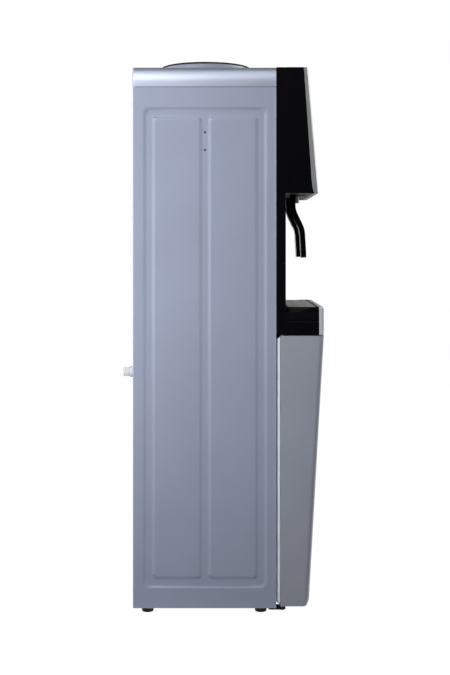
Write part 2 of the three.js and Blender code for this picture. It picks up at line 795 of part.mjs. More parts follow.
// Lever: a bent strip that forks round the tap, so that the water falls between its prongs
function lever(x) {
  const line = [
    [pivotDepth + leverNose, pivotHeight],
    [pivotDepth - leverHeelReach + leverNose, pivotHeight],
    [columnFront + leverNeckReach, pivotHeight - leverNeckDrop],
    [columnFront + leverKneeReach, pivotHeight - leverKneeDrop],
    [columnFront + leverShinReach, pivotHeight - leverShinDrop],
    [columnFront + leverToeReach, pivotHeight - leverLength],
  ];
  const fork = block(2 * (tapBarrelRadius + leverPlay), 0, ledgeFront, pivotHeight - leverForkDrop, coverTop, x);
  return cut(across(ribbon(line, leverThickness), leverWidth, x), fork, leverPinBore(x));
}

for (const [name, x] of Object.entries(tapX)) {
  add(name + "_tap_body", tapBody(x), paleSilicone);
  add(name + "_tap_plunger", plunger(x), whitePlastic);
  add(name + "_tap_lever", lever(x), satinBlack);
  const pinLength = leverWidth + 2 * leverPinProud;
  add(name + "_lever_pin", spindle(leverPinRadius, pinLength, x, pivotDepth, pivotHeight), bareSteel);
}

// Ledge housing: a box with a well for the drip tray and a finger scoop in each side wall
const housingFront = ledgeFront - ledgeTrimThickness - fit;
const wellRear = headRear + wall;
const wellFront = housingFront - wall;
const wellFloor = ledgeBottom + ledgeFloor;
const wellWidth = frontWidth - 2 * ledgeSideWall;
const scoopHeight = ledgeTop - scoopDrop + scoopRadius;
const scoops = [-1, 1].map((side) => {
  const x = side * (frontWidth / 2 - ledgeSideWall / 2);
  const disc = spindle(scoopRadius, ledgeSideWall + fit, x, columnFront + scoopReach, scoopHeight, 2 * roundSides);
  return overlap(disc, block(2 * frontWidth, wellRear, wellFront, ledgeBottom, ledgeTop + overrun));
});
add("ledge_housing", cut(
  block(frontWidth, headRear, housingFront, ledgeBottom, ledgeTop),
  block(wellWidth, wellRear, wellFront, wellFloor, ledgeTop + overrun),
  ...scoops,
), glossBlack);

// Ledge trim: a silver strip across the ledge's front, hollow behind
const trimRear = ledgeFront - ledgeTrimThickness;
add("ledge_trim", cut(
  upright(frontOutline(frontWidth, trimRear, ledgeFront, ledgeCorner), ledgeBottom, ledgeTop),
  upright(frontOutline(frontWidth - 2 * wall, trimRear - overrun, ledgeFront - wall, ledgeCorner - wall),
    ledgeBottom + wall, ledgeTop - wall),
), silverMoulding);

// Drip tray with a step that carries the grille
const trayFloorTop = wellFloor + fit + trayWall;
const grilleBottom = ledgeTop - grilleThickness;
const grilleHalf = wellWidth / 2 - 2 * fit - trayWall;
const grilleRear = wellRear + 2 * fit + trayWall;
const grilleFront = wellFront - 2 * fit - trayWall;
add("drip_tray", cut(
  block(wellWidth - 2 * fit, wellRear + fit, wellFront - fit, wellFloor + fit, ledgeTop),
  block(2 * (grilleHalf - grilleSeat), grilleRear + grilleSeat, grilleFront - grilleSeat, trayFloorTop, ledgeTop),
  block(2 * (grilleHalf + fit), grilleRear - fit, grilleFront + fit, grilleBottom - fit, ledgeTop + overrun),
), satinBlack);

// Grille: rows of slots that run from rear to front
function grilleSlots() {
  const slotLength = (grilleFront - grilleRear - grilleBridge * (grilleRows + 1)) / grilleRows;
  const columns = Math.floor((2 * grilleHalf - 2 * grilleBridge) / grilleSlotPitch);
  const slots = [];
  for (let row = 0; row < grilleRows; row++) {
    const start = grilleRear + grilleBridge + row * (slotLength + grilleBridge);
    for (let i = 0; i < columns; i++) {
      const x = (i - (columns - 1) / 2) * grilleSlotPitch;
      slots.push(block(grilleSlotWidth, start, start + slotLength, 0, coverTop, x));
    }
  }
  return slots;
}
const grillePlate = block(2 * grilleHalf, grilleRear, grilleFront, grilleBottom, ledgeTop);
add("drip_grille", cut(grillePlate, ...grilleSlots()), bareSteel);

// Storage liner with a rim that meets the door gasket and rails for the shelf
const linerRear = deckRearGap;
const linerFront = cabinetDepth;
const linerInside = linerHalf - wall;
const rails = [-1, 1].map((side) =>
  block(railWidth, linerRear + wall, linerFront - wall, shelfHeight - railHeight, shelfHeight,
    side * (linerInside - railWidth / 2)),
);
const linerShell = cut(
  block(2 * linerHalf, linerRear, linerFront, linerBottom, linerTop),
  block(2 * linerInside, linerRear + wall, linerFront - wall, linerBottom + wall, linerTop - wall),
  block(2 * (linerHalf - linerRimWidth), linerRear + wall, linerFront + overrun, linerBottom + linerRimWidth,
    linerTop - linerRimWidth),
);
add("cabinet_liner", join(linerShell, ...rails), whitePlastic);

const shelfBottom = shelfHeight + fit;
add("cabinet_shelf", block(2 * (linerInside - fit), linerRear + wall + fit, linerFront - shelfFrontGap, shelfBottom,
  shelfBottom + shelfThickness), whitePlastic);

// Door shell: a deep moulding whose front slopes back towards the floor
const gripX = frontWidth / 2 - gripDepth / 2;
const gripCentre = (doorBottom + doorTop) / 2;
function doorForm(inset, rear) {
  const leanBack = -doorLean;
  const front = ledgeFront - doorTaper - inset;
  const outline = frontOutline(frontWidth - 2 * inset, 0, front, doorCorner - inset);
  const form = upright(outline, doorBottom, doorTop, leanBack);
  return overlap(form, block(2 * frontWidth, rear, ledgeFront, doorBottom + inset, doorTop - inset));
}
function gripBlock(extra) {
  const rear = hingeDepth + gripSetForward;
  const half = gripHeight / 2 + extra;
  return block(gripDepth + extra, rear - extra, rear + gripOpening + extra, gripCentre - half, gripCentre + half,
    gripX - extra / 2);
}
const hingeBosses = [
  [doorBottom, doorBottom + hingePinEngagement],
  [doorTop - hingePinEngagement, doorTop],
].map(([low, high]) => {
  const boss = post(hingeBossRadius, hingeX, hingeDepth, low, high, { sides: smallSides });
  return overlap(boss, doorForm(0, doorRear));
});
const hingeBore = post(hingePinRadius + fit, hingeX, hingeDepth, 0, ledgeTop);
const doorOpening = block(frontWidth - 2 * doorRim, 0, doorRear + wall + overrun, doorBottom + doorRim,
  doorTop - doorRim);
add("door_shell", cut(
  join(cut(doorForm(0, doorRear), doorForm(wall, doorRear + wall), doorOpening), ...hingeBosses, gripBlock(wall)),
  gripBlock(0),
  hingeBore,
), silverMoulding);

// Door liner and the gasket on it
const linerEdge = frontWidth / 2 - doorRim + doorLinerOverlap;
const doorLinerShape = roundedRect(-linerEdge, linerEdge, doorBottom + doorRim - doorLinerOverlap,
  doorTop - doorRim + doorLinerOverlap, wall);
add("door_liner", facing(doorLinerShape, doorLinerRear, doorLinerRear + doorLinerThickness), whitePlastic);

const gasketHalf = frontWidth / 2 - gasketSideInset;
const gasketLow = doorBottom + gasketEndInset;
const gasketHigh = doorTop - gasketEndInset;
const gasketShape = roundedRect(-gasketHalf, gasketHalf, gasketLow, gasketHigh, gasketWidth / 2);
gasketShape.holes.push(roundedRect(gasketWidth - gasketHalf, gasketHalf - gasketWidth, gasketLow + gasketWidth,
  gasketHigh - gasketWidth, gasketWidth / 4, true));
add("door_gasket", facing(gasketShape, gasketRear, gasketRear + gasketThickness), paleRubber);

// Lower hinge: a bracket under the cabinet and a headed pin with a shoulder; the upper pin hangs from the column
const bracketHigh = footHeight - fit;
const bracketLow = bracketHigh - bracketThickness;
const bracketSide = -frontWidth / 2 + bracketWidth / 2 + frontOverhang;
const pinBore = post(hingePinRadius + fit, hingeX, hingeDepth, 0, footHeight);
add("lower_hinge_bracket", cut(
  block(bracketWidth, cabinetDepth - bracketTail, hingeDepth + bracketNose, bracketLow, bracketHigh, bracketSide),
  pinBore,
), satinBlack);
add("lower_hinge_pin", join(
  post(hingePinRadius, hingeX, hingeDepth, bracketLow - fit - hingePinHead, doorBottom + hingePinEngagement,
    { sides: smallSides }),
  post(hingePinHeadRadius, hingeX, hingeDepth, bracketLow - fit - hingePinHead, bracketLow - fit,
    { sides: smallSides }),
  post(shoulderRadius, hingeX, hingeDepth, bracketHigh + fit, doorBottom - fit, { sides: smallSides }),
), bareSteel);
const upperPinTop = ledgeBottom + wall + fit;
add("upper_hinge_pin", join(
  post(hingePinRadius, hingeX, hingeDepth, doorTop - hingePinEngagement, upperPinTop, { sides: smallSides }),
  post(hingePinHeadRadius, hingeX, hingeDepth, upperPinTop, upperPinTop + hingePinHead, { sides: smallSides }),
), bareSteel);

// Cold tank in its foam, with the block, module, heat sink and fan behind it
const coldShell = turned([
  [0, coldTankBottom],
  [coldTankRadius, coldTankBottom],
  [coldTankRadius, foamTop],
  [coldTankRadius - tankWall, foamTop],
  [coldTankRadius - tankWall, coldTankBottom + tankWall],
  [0, coldTankBottom + tankWall],
], 0, seatDepth, 2 * roundSides);
const feedHole = () => post(feedPipeRadius + fit, 0, seatDepth, 0, coldTankBottom + coldTankHeight / 2);
const outletHole = () => rod(hosePortRadius, coldOutletX, tapHeight, seatDepth, cabinetDepth);
add("cold_tank", cut(coldShell, feedHole(), outletHole()), bareSteel);

const foamRear = seatDepth - foamHalf;
const foamShape = roundedRect(-foamHalf, foamHalf, toY(seatDepth + foamHalf), toY(foamRear), coldFoamCorner);
const blockHigh = coolingHeight + coldBlockSize / 2;
const blockLow = coolingHeight - coldBlockSize / 2;
add("cold_foam", cut(
  upright(foamShape, foamBottom, foamTop),
  post(coldTankRadius + fit, 0, seatDepth, coldTankBottom - fit, foamTop + overrun, { sides: 2 * roundSides }),
  block(coldBlockSize + 2 * fit, 0, seatDepth, blockLow - fit, blockHigh + fit),
  feedHole(),
  outletHole(),
), foam);
add("cold_block", block(coldBlockSize, foamRear, seatDepth - coldTankRadius - fit, blockLow, blockHigh), aluminium);

const moduleFront = foamRear - fit;
const moduleRear = moduleFront - moduleThickness;
add("cooling_module", block(moduleSize, moduleRear, moduleFront, coolingHeight - moduleSize / 2,
  coolingHeight + moduleSize / 2), whitePlastic);

const sinkFront = moduleRear - fit;
const finCount = Math.floor((sinkWidth - sinkFinThickness) / sinkFinPitch) + 1;
const sinkLow = coolingHeight - sinkHeight / 2;
const fins = Array.from({ length: finCount }, (_, i) =>
  block(sinkFinThickness, sinkFront - sinkBase - sinkFinLength, sinkFront - sinkBase / 2, sinkLow,
    sinkLow + sinkHeight, (i - (finCount - 1) / 2) * sinkFinPitch),
);
add("heat_sink", join(block(sinkWidth, sinkFront - sinkBase, sinkFront, sinkLow, sinkLow + sinkHeight), ...fins),
  aluminium);

// Fan: a square frame with a spoked motor plate, and a bladed rotor
const fanRear = rearPanelFront + fit;
const fanFront = fanRear + fanThickness;
const spokeFront = fanRear + fanSpokeThickness;
const fanBar = (width, height) =>
  block(width, fanRear, spokeFront, coolingHeight - height / 2, coolingHeight + height / 2);
const fanLow = coolingHeight - fanSize / 2;
add("fan_frame", join(
  cut(
    block(fanSize, fanRear, fanFront, fanLow, fanLow + fanSize),
    rod(fanBoreRadius, 0, coolingHeight, fanRear - overrun, fanFront + overrun),
  ),
  fanBar(2 * fanBoreRadius + wall, fanSpokeWidth),
  fanBar(fanSpokeWidth, 2 * fanBoreRadius + wall),
  rod(fanHubRadius, 0, coolingHeight, fanRear, spokeFront),
), satinBlack);

const rotorRear = spokeFront + fit;
const rotorFront = fanFront - fanTipPlay;
const rotorMiddle = (rotorRear + rotorFront) / 2;
const bladeReach = fanBoreRadius - fanTipPlay;
const blades = Array.from({ length: fanBladeCount }, (_, i) => {
  const blade = new THREE.BoxGeometry(fanBladeThickness, fanBladeChord, bladeReach - fanHubRadius / 2);
  blade.rotateZ(fanBladeTurn).translate(0, 0, (bladeReach + fanHubRadius / 2) / 2);
  return blade.rotateY((2 * Math.PI * i) / fanBladeCount).translate(0, toY(rotorMiddle), coolingHeight);
});
add("fan_rotor", join(rod(fanHubRadius, 0, coolingHeight, rotorRear, rotorFront), ...blades), satinBlack);

// Fan guard: rings carried by two crossed bars, in the rear panel's opening
const guardFront = rearPanelRear - fit;
const guardRear = guardFront - guardThickness;
function guardRing(radius, width) {
  const bore = rod(radius - width, 0, coolingHeight, guardRear - overrun, guardFront + overrun);
  return cut(rod(radius, 0, coolingHeight, guardRear, guardFront), bore);
}
function guardCross(width, height) {
  return block(width, guardRear, guardFront, coolingHeight - height / 2, coolingHeight + height / 2);
}
const guardRings = Array.from({ length: guardRingCount }, (_, i) =>
  guardRing(guardRadius - guardRim - (i + 1) * guardRingPitch + guardBar, guardBar),
);
const crossLength = 2 * guardRadius - guardRim;
add("fan_guard", join(
  guardRing(guardRadius, guardRim),
  ...guardRings,
  guardCross(crossLength, guardBar),
  guardCross(guardBar, crossLength),
), satinBlack);

// Hot tank in its jacket, with three hose connections
const drainExitHeight = hotTankBottom + hoseRadius * 2;
const hotPorts = () => [
  post(hosePortRadius, hotOutletX, seatDepth, hotTankTop - overrun, cabinetTop),
  rod(hosePortRadius, 0, drainExitHeight, 0, seatDepth),
  post(feedPipeRadius + fit, 0, seatDepth, hotTankTop - overrun, cabinetTop),
];
const hotShell = turned([
  [0, hotTankBottom],
  [hotTankRadius, hotTankBottom],
  [hotTankRadius, hotTankTop],
  [0, hotTankTop],
], 0, seatDepth);
const hotHollow = post(hotTankRadius - tankWall, 0, seatDepth, hotTankBottom + tankWall, hotTankTop - tankWall);
add("hot_tank", cut(hotShell, hotHollow, ...hotPorts()), bareSteel);

add("hot_jacket", cut(
  post(hotTankRadius + hotFoam, 0, seatDepth, jacketBottom, jacketTop),
  post(hotTankRadius + fit, 0, seatDepth, hotTankBottom - fit, hotTankTop + fit),
  ...hotPorts(),
), foam);

// Feed pipe between the tanks, and the hoses to the taps and the drain
add("feed_pipe", cut(
  post(feedPipeRadius, 0, seatDepth, hotTankTop - overrun, coldTankBottom + overrun, { sides: smallSides }),
  post(feedPipeRadius - tankWall, 0, seatDepth, 0, cabinetTop, { sides: smallSides }),
), bareSteel);

const hoseEnd = tapTail - fit;
const foamFront = seatDepth + foamHalf;
const riserDepth = foamFront + hoseBend;
const hotCrossing = jacketTop + hoseBend;
add("hot_hose", hose([
  [hotOutletX, seatDepth, hotTankTop - overrun],
  [hotOutletX, seatDepth, hotTankTop + hoseStraight],
  [hotOutletX, seatDepth, jacketTop - hoseStraight],
  [hotOutletX, seatDepth, jacketTop + fit],
  [hotOutletX - fit, seatDepth + hoseBend, hotCrossing],
  [(hotOutletX + tapX.hot) / 2, (seatDepth + riserDepth) / 2 + hoseBend, hotCrossing],
  [tapX.hot, riserDepth, bracketTop + hoseStraight],
  [tapX.hot, riserDepth, tapHeight - hoseBend],
  [tapX.hot, hoseEnd - 2 * hoseStraight, tapHeight],
  [tapX.hot, hoseEnd - hoseStraight, tapHeight],
  [tapX.hot, hoseEnd, tapHeight],
]), paleSilicone);
add("cold_hose", hose([
  [coldOutletX, foamFront - 5 * hoseStraight, tapHeight],
  [coldOutletX, foamFront - 3 * hoseStraight, tapHeight],
  [coldOutletX, foamFront - hoseStraight, tapHeight],
  [coldOutletX, foamFront + hoseStraight, tapHeight],
  [(coldOutletX + tapX.cold) / 2, (foamFront + hoseEnd) / 2, tapHeight],
  [tapX.cold, hoseEnd - 2 * hoseStraight, tapHeight],
  [tapX.cold, hoseEnd - hoseStraight, tapHeight],
  [tapX.cold, hoseEnd, tapHeight],
]), paleSilicone);

const drainTail = rearPanelFront + drainTailReach;
const drainDrop = (drainTail + deckRearGap) / 2;
const jacketRear = seatDepth - hotTankRadius - hotFoam;
add("drain_hose", hose([
  [0, seatDepth - hotTankRadius + overrun, drainExitHeight],
  [0, jacketRear + hoseStraight, drainExitHeight],
  [0, jacketRear - fit, drainExitHeight],
  [0, drainDrop, drainExitHeight - hoseBend],
  [0, drainDrop, deckTop],
  [0, drainDrop, drainHeight + 2 * hoseBend],
  [0, drainDrop - hoseStraight / 2, drainHeight + hoseStraight / 2],
  [0, drainTail + hoseStraight, drainHeight],
  [0, drainTail + hoseStraight / 2, drainHeight],
  [0, drainTail, drainHeight],
]), paleSilicone);

// Drain outlet through the rear panel and the cap over its spigot
const drainCapFront = -drainBodyReach - fit;
const spigotRear = drainCapFront - drainCapReach + capWall + fit;
add("drain_outlet", cut(
  join(
    rod(drainBodyRadius, 0, drainHeight, -drainBodyReach, -fit),
    rod(drainStemRadius, 0, drainHeight, -drainBodyReach, drainTail - fit),
    rod(drainSpigotRadius, 0, drainHeight, spigotRear, 0),
    rod(barbRadius, 0, drainHeight, 0, drainTail + barbLength / 2, smallSides),
  ),
  rod(barbRadius - tankWall, 0, drainHeight, spigotRear - overrun, drainTail + barbLength, smallSides),
), whitePlastic);
add("drain_cap", cut(
  rod(drainCapRadius, 0, drainHeight, drainCapFront - drainCapReach, drainCapFront),
  rod(drainSpigotRadius + fit, 0, drainHeight, drainCapFront - drainCapReach + capWall, drainCapFront + overrun),
), whitePlastic);

// Power supply: a vented box that stands on the base plate
const supplyFront = rearPanelFront + supplyRearGap + supplyDepth;
const supplySlots = Array.from({ length: Math.floor(supplyWidth / supplySlotPitch) - 1 }, (_, i) =>
  block(supplySlotWidth, supplyFront - sheet - overrun, supplyFront + overrun, linerBottom + supplyHeight / 4,
    linerBottom + (3 * supplyHeight) / 4, supplyX - supplyWidth / 2 + (i + 1) * supplySlotPitch),
);
const supplyBox = block(supplyWidth, supplyFront - supplyDepth, supplyFront, linerBottom, linerBottom + supplyHeight,
  supplyX);
const supplyInside = block(supplyWidth - 2 * sheet, supplyFront - supplyDepth + sheet, supplyFront - sheet,
  linerBottom + sheet, linerBottom + supplyHeight - sheet, supplyX);
add("power_supply", cut(supplyBox, supplyInside, ...supplySlots), zincSheet);

// Mains inlet: a socket with three pins behind a bezel
const bezelFront = rearPanelRear - fit;
function framedBlock(x, centre, width, height, depth) {
  const half = height / 2;
  return join(
    block(width + 2 * bezelLip, bezelFront - bezel, bezelFront, centre - half - bezelLip, centre + half + bezelLip, x),
    block(width, bezelFront - bezel, bezelFront + depth, centre - half, centre + half, x),
  );
}
const socketFloor = bezelFront - bezel + inletSocketDepth;
const inletPins = [-inletPinPitch, 0, inletPinPitch].map((offset) => {
  const shift = offset === 0 ? inletPinHeight / 2 : -inletPinHeight / 4;
  const middle = inletHeightCentre + shift;
  return block(inletPinWidth, socketFloor - inletPinLength, socketFloor + wall, middle - inletPinHeight / 2,
    middle + inletPinHeight / 2, inletX + offset);
});
add("power_inlet", join(
  cut(
    framedBlock(inletX, inletHeightCentre, inletWidth, inletHeight, inletDepth),
    block(inletSocketWidth, bezelFront - overrun, socketFloor, inletHeightCentre - inletSocketHeight / 2,
      inletHeightCentre + inletSocketHeight / 2, inletX),
  ),
  ...inletPins,
), satinBlack);

// Switch housing with two pockets, and a rocker on its own pin in each
const rockerNames = [["heating_rocker", -1], ["cooling_rocker", 1]];
const rockerDepth = bezelFront + rockerPivotDepth;
const rockerX = (side) => switchX + (side * switchPitch) / 2;
const pockets = rockerNames.map(([, side]) =>
  block(switchPocketWidth, bezelFront - overrun, bezelFront + switchPocketDepth,
    switchCentre - switchPocketHeight / 2, switchCentre + switchPocketHeight / 2, rockerX(side)),
);
const pinPockets = rockerNames.map(([, side]) =>
  spindle(rockerPinRadius + fit, switchPocketWidth + 2 * rockerPinReach + 2 * fit, rockerX(side), rockerDepth,
    switchCentre),
);
add("switch_housing", cut(
  framedBlock(switchX, switchCentre, switchWidth, switchHeight, switchDepth),
  ...pockets,
  ...pinPockets,
), satinBlack);

function rocker(side) {
  const turn = THREE.MathUtils.degToRad(rockerTilt);
  const outline = [
    [-rockerEnd, rockerHalfHeight],
    [-rockerMiddle, 0],
    [-rockerEnd, -rockerHalfHeight],
    [0, -rockerRoot],
    [rockerHeel, 0],
    [0, rockerRoot],
  ].map(([u, v]) => new THREE.Vector2(u, v).rotateAround(new THREE.Vector2(), turn));
  const moved = outline.map((p) => new THREE.Vector2(p.x + rockerDepth, p.y + switchCentre));
  const body = across(new THREE.Shape(moved), switchPocketWidth - 2 * rockerPlay, rockerX(side));
  const pinLength = switchPocketWidth + 2 * rockerPinReach;
  return join(body, spindle(rockerPinRadius, pinLength, rockerX(side), rockerDepth, switchCentre));
}
add("heating_rocker", rocker(-1), redLens);
add("cooling_rocker", rocker(1), greenLens);

export default cooler;
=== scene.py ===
# %% [markdown]
# # A water cooler, piece by piece
# This lesson dresses a floor-standing water cooler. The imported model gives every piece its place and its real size,
# in metres, with the front towards -Y and the floor at height zero. Each step below says what a piece is on the real
# cooler, how it could be made, and why it is made the way it is.

import math

import bmesh
import bpy
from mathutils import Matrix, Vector


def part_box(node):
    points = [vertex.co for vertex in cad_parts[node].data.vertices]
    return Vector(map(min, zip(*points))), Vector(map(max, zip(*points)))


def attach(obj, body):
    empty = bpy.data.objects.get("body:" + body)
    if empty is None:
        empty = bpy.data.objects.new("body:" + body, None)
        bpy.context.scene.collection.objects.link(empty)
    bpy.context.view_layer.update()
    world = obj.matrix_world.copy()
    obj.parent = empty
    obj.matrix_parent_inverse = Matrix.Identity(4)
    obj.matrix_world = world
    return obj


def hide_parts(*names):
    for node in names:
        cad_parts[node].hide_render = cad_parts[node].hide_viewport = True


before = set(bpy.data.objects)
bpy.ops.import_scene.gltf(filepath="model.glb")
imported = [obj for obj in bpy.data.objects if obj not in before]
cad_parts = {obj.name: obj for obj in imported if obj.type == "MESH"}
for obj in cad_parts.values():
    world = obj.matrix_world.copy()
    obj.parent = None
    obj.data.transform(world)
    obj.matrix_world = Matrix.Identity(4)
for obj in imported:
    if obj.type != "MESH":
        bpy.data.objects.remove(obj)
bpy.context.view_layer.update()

# %% [markdown]
# ## Camera
# The picture is a straight side view from the cooler's left, taken with a short telephoto lens at a height of about
# two thirds of the cooler. Upright edges stay parallel, so the camera is level and its frame is shifted downwards
# instead of tilted. The camera comes first, because every later step is judged through it.

# %% Place the camera
CAMERA_PLACE = (-2.255, -0.0087, 0.665)
CAMERA_LENS = 62.1
CAMERA_SHIFT = -0.1326

camera = bpy.data.objects.new("camera", bpy.data.cameras.new("camera"))
bpy.context.scene.collection.objects.link(camera)
camera.location = CAMERA_PLACE
camera.rotation_euler = (math.radians(90), 0, math.radians(-90))
camera.data.lens = CAMERA_LENS
camera.data.shift_y = CAMERA_SHIFT
bpy.context.scene.camera = camera
bpy.context.scene.view_settings.view_transform = "Standard"
print("camera looks along +X from", CAMERA_PLACE)

# %% [markdown]
# ## Shader maths
# A finish is easier to read as a formula than as a tangle of nodes. `Level` wraps one socket and lets Python's
# operators add the Math nodes. `Nodes` holds the nodes of a material or of the world and adds every other node through
# a single method, and `Finish` is a material with the patterns that finishes are mixed from.

# %% Wrap sockets and materials
WHITE = (255, 255, 255)
MIX_FACTOR, MIX_FIRST, MIX_SECOND, MIX_RESULT = 0, 6, 7, 2


def rgb(colour):
    """A screen colour from 0 to 255 as the linear colour that a shader takes."""
    parts = [part / 255 for part in colour]
    linear = [part / 12.92 if part <= 0.04045 else ((part + 0.055) / 1.055) ** 2.4 for part in parts]
    return (*linear, 1.0)


class Level:
    """One value in a material, with arithmetic that adds Math nodes."""

    def __init__(self, nodes, socket):
        self.nodes = nodes
        self.socket = socket

    def maths(self, operation, *values):
        made = self.nodes.add("ShaderNodeMath", {"operation": operation}, dict(enumerate(values)))
        return Level(self.nodes, made.outputs[0])

    def __add__(self, other):
        return self.maths("ADD", self, other)

    def __rsub__(self, other):
        return self.maths("SUBTRACT", other, self)

    def __mul__(self, other):
        return self.maths("MULTIPLY", self, other)

    def ramp(self, low, high):
        """0 below low, 1 above high, and a smooth step between them."""
        settings = {"interpolation_type": "SMOOTHSTEP"}
        made = self.nodes.add("ShaderNodeMapRange", settings, {"Value": self, "From Min": low, "From Max": high})
        return Level(self.nodes, made.outputs["Result"])


class Nodes:
    """The nodes of one material, or of the world."""

    def __init__(self, tree):
        self.tree = tree

    def feed(self, node, inputs):
        """Set inputs of a node to values, or link them to levels and sockets."""
        for key, value in inputs.items():
            source = getattr(value, "socket", value)
            if isinstance(source, bpy.types.NodeSocket):
                self.tree.links.new(source, node.inputs[key])
            else:
                node.inputs[key].default_value = source

    def add(self, kind, settings, inputs):
        made = self.tree.nodes.new(kind)
        for key, value in settings.items():
            setattr(made, key, value)
        self.feed(made, inputs)
        return made

    def seen_by(self, *kinds):
        """1 for rays of these kinds and 0 for all others."""
        rays = self.add("ShaderNodeLightPath", {}, {}).outputs
        seen, *others = [Level(self, rays[f"Is {kind} Ray"]) for kind in kinds]
        for other in others:
            seen = seen.maths("MAXIMUM", seen, other)
        return seen


class Finish(Nodes):
    """One material: its shader, its plain values, and what varies over its surface."""

    def __init__(self, name, colour, roughness, **plain):
        self.material = bpy.data.materials.new(name)
        self.material.use_nodes = True
        super().__init__(self.material.node_tree)
        self.colour = colour
        self.shader = self.tree.nodes["Principled BSDF"]
        self.feed(self.shader, {"Base Color": rgb(colour), "Roughness": roughness})
        self.feed(self.shader, {key.replace("_", " ").title().replace("Ior", "IOR"): v for key, v in plain.items()})

    def place(self, stretch=(1, 1, 1)):
        """Where a point lies on the object, in metres, stretched along each axis."""
        where = self.add("ShaderNodeTexCoord", {}, {}).outputs["Object"]
        return self.add("ShaderNodeMapping", {}, {"Vector": where, "Scale": stretch}).outputs["Vector"]

    def noise(self, size, stretch=(1, 1, 1), detail=2):
        """Soft random levels from 0 to 1 whose patches are about this many metres wide."""
        inputs = {"Vector": self.place(stretch), "Scale": 1 / size, "Detail": detail}
        return Level(self, self.add("ShaderNodeTexNoise", {}, inputs).outputs[0])

    def cells(self, size, output="Distance"):
        """Round cells this many metres apart: the distance to the nearest one, or its own level."""
        inputs = {"Vector": self.place(), "Scale": 1 / size}
        return Level(self, self.add("ShaderNodeTexVoronoi", {}, inputs).outputs[output])

    def height(self):
        """The height over the floor, in metres."""
        return Level(self, self.add("ShaderNodeSeparateXYZ", {}, {"Vector": self.place()}).outputs["Z"])

    def tint(self, amount, low, high):
        """Blend the base colour between two colours."""
        inputs = {MIX_FACTOR: amount, MIX_FIRST: rgb(low), MIX_SECOND: rgb(high)}
        made = self.add("ShaderNodeMix", {"data_type": "RGBA"}, inputs)
        self.feed(self.shader, {"Base Color": made.outputs[MIX_RESULT]})

    def vary(self, amount, darker, lighter, more=0):
        """Blend the base colour between a darker and a lighter share of itself."""
        low = [part * darker for part in self.colour]
        self.tint(amount, low, [min(255, part * lighter + more) for part in self.colour])

    def gloss(self, level):
        self.feed(self.shader, {"Roughness": level})

    def relief(self, level, depth):
        """Raise or sink the surface by a level, in metres."""
        made = self.add("ShaderNodeBump", {}, {"Height": level, "Distance": depth, "Strength": 1.0})
        self.feed(self.shader, {"Normal": made.outputs["Normal"]})


print("a mid grey of 128 is", round(rgb((128, 128, 128))[0], 3))

# %% [markdown]
# ## Painted and moulded silver
# The cabinet is steel sheet with a silver-grey metallic paint: fine flakes, a faint orange-peel surface and a thin
# film of dust near the floor. The cover, its collar, the fascia, trim and door are mouldings with a silver coat of
# their own, each a little different in tone, and the collar rougher than the rest. One function makes them all, so
# that they stay one family.

# %% Silver finishes
FLAKE_SIZE, CLOUD_SIZE, DUST_SIZE, DUST_REACH, PEEL_DEPTH = 0.0007, 0.09, 0.03, 0.16, 0.00006


def silver(name, colour, roughness, metallic=0.3, peel=0.0035):
    paint = Finish(name, colour, roughness, metallic=metallic, coat_weight=0.08, coat_roughness=0.25)
    flakes = paint.cells(FLAKE_SIZE, "Color")
    cloud = paint.noise(CLOUD_SIZE, detail=3)
    dust = (1 - paint.height().ramp(0.0, DUST_REACH)) * paint.noise(DUST_SIZE) * 0.5
    paint.vary(flakes * 0.5 + cloud * 0.5, 0.955, 1.045)
    paint.gloss(dust * 0.25 + cloud * 0.06 + flakes * 0.05 + (roughness - 0.055))
    paint.relief(paint.noise(peel) + flakes * 0.06, PEEL_DEPTH)
    return paint.material


SILVER_PAINT = silver("silver_paint", (169, 177, 200), 0.46)
COLLAR_SILVER = silver("collar_silver", (198, 205, 222), 0.5, 0.15)
COVER_SILVER = silver("cover_silver", (204, 212, 232), 0.31, 0.65, 0.0055)
FASCIA_SILVER = silver("fascia_silver", (162, 164, 164), 0.32, 0.35, 0.006)
TRIM_SILVER = silver("trim_silver", (228, 232, 238), 0.34, 0.3, 0.006)
DOOR_SILVER = silver("door_silver", (176, 181, 195), 0.38, 0.3, 0.0045)
print("six silvers")

# %% [markdown]
# ## Black, white and soft plastics
# The column and the head are polished black, with a hair of dust and very fine scratches in the roughness. The levers
# have the fine grain of a textured mould. The liner is a white moulding, the gasket a soft pale rubber, and the spouts
# are a milky silicone that light enters a little.

# %% Plastics and rubbers
SPECK_SIZE, HAIR_SIZE, HAIR_STRETCH, WAVE_SIZE, WAVE_DEPTH = 0.006, 0.004, (1, 1, 0.06), 0.03, 0.00005


def polished_black(name, roughness=0.14):
    black = Finish(name, (13, 13, 16), roughness, specular_ior_level=0.28)
    specks = 1 - black.cells(SPECK_SIZE).ramp(0.02, 0.05)
    hairs = black.noise(HAIR_SIZE, HAIR_STRETCH)
    black.tint(specks * 0.5, (12, 12, 15), (48, 48, 52))
    black.gloss(specks * 0.4 + hairs * 0.07 + (roughness - 0.03))
    black.relief(black.noise(WAVE_SIZE), WAVE_DEPTH)
    return black.material


def grained(name, colour, roughness, grain=0.0006, depth=0.00005, **plain):
    """A moulded surface with the fine even grain of its mould."""
    skin = Finish(name, colour, roughness, **plain)
    patches = skin.noise(0.025, detail=3)
    skin.vary(patches, 0.95, 1.05)
    skin.gloss(patches * 0.12 + (roughness - 0.06))
    skin.relief(skin.cells(grain), depth)
    return skin.material


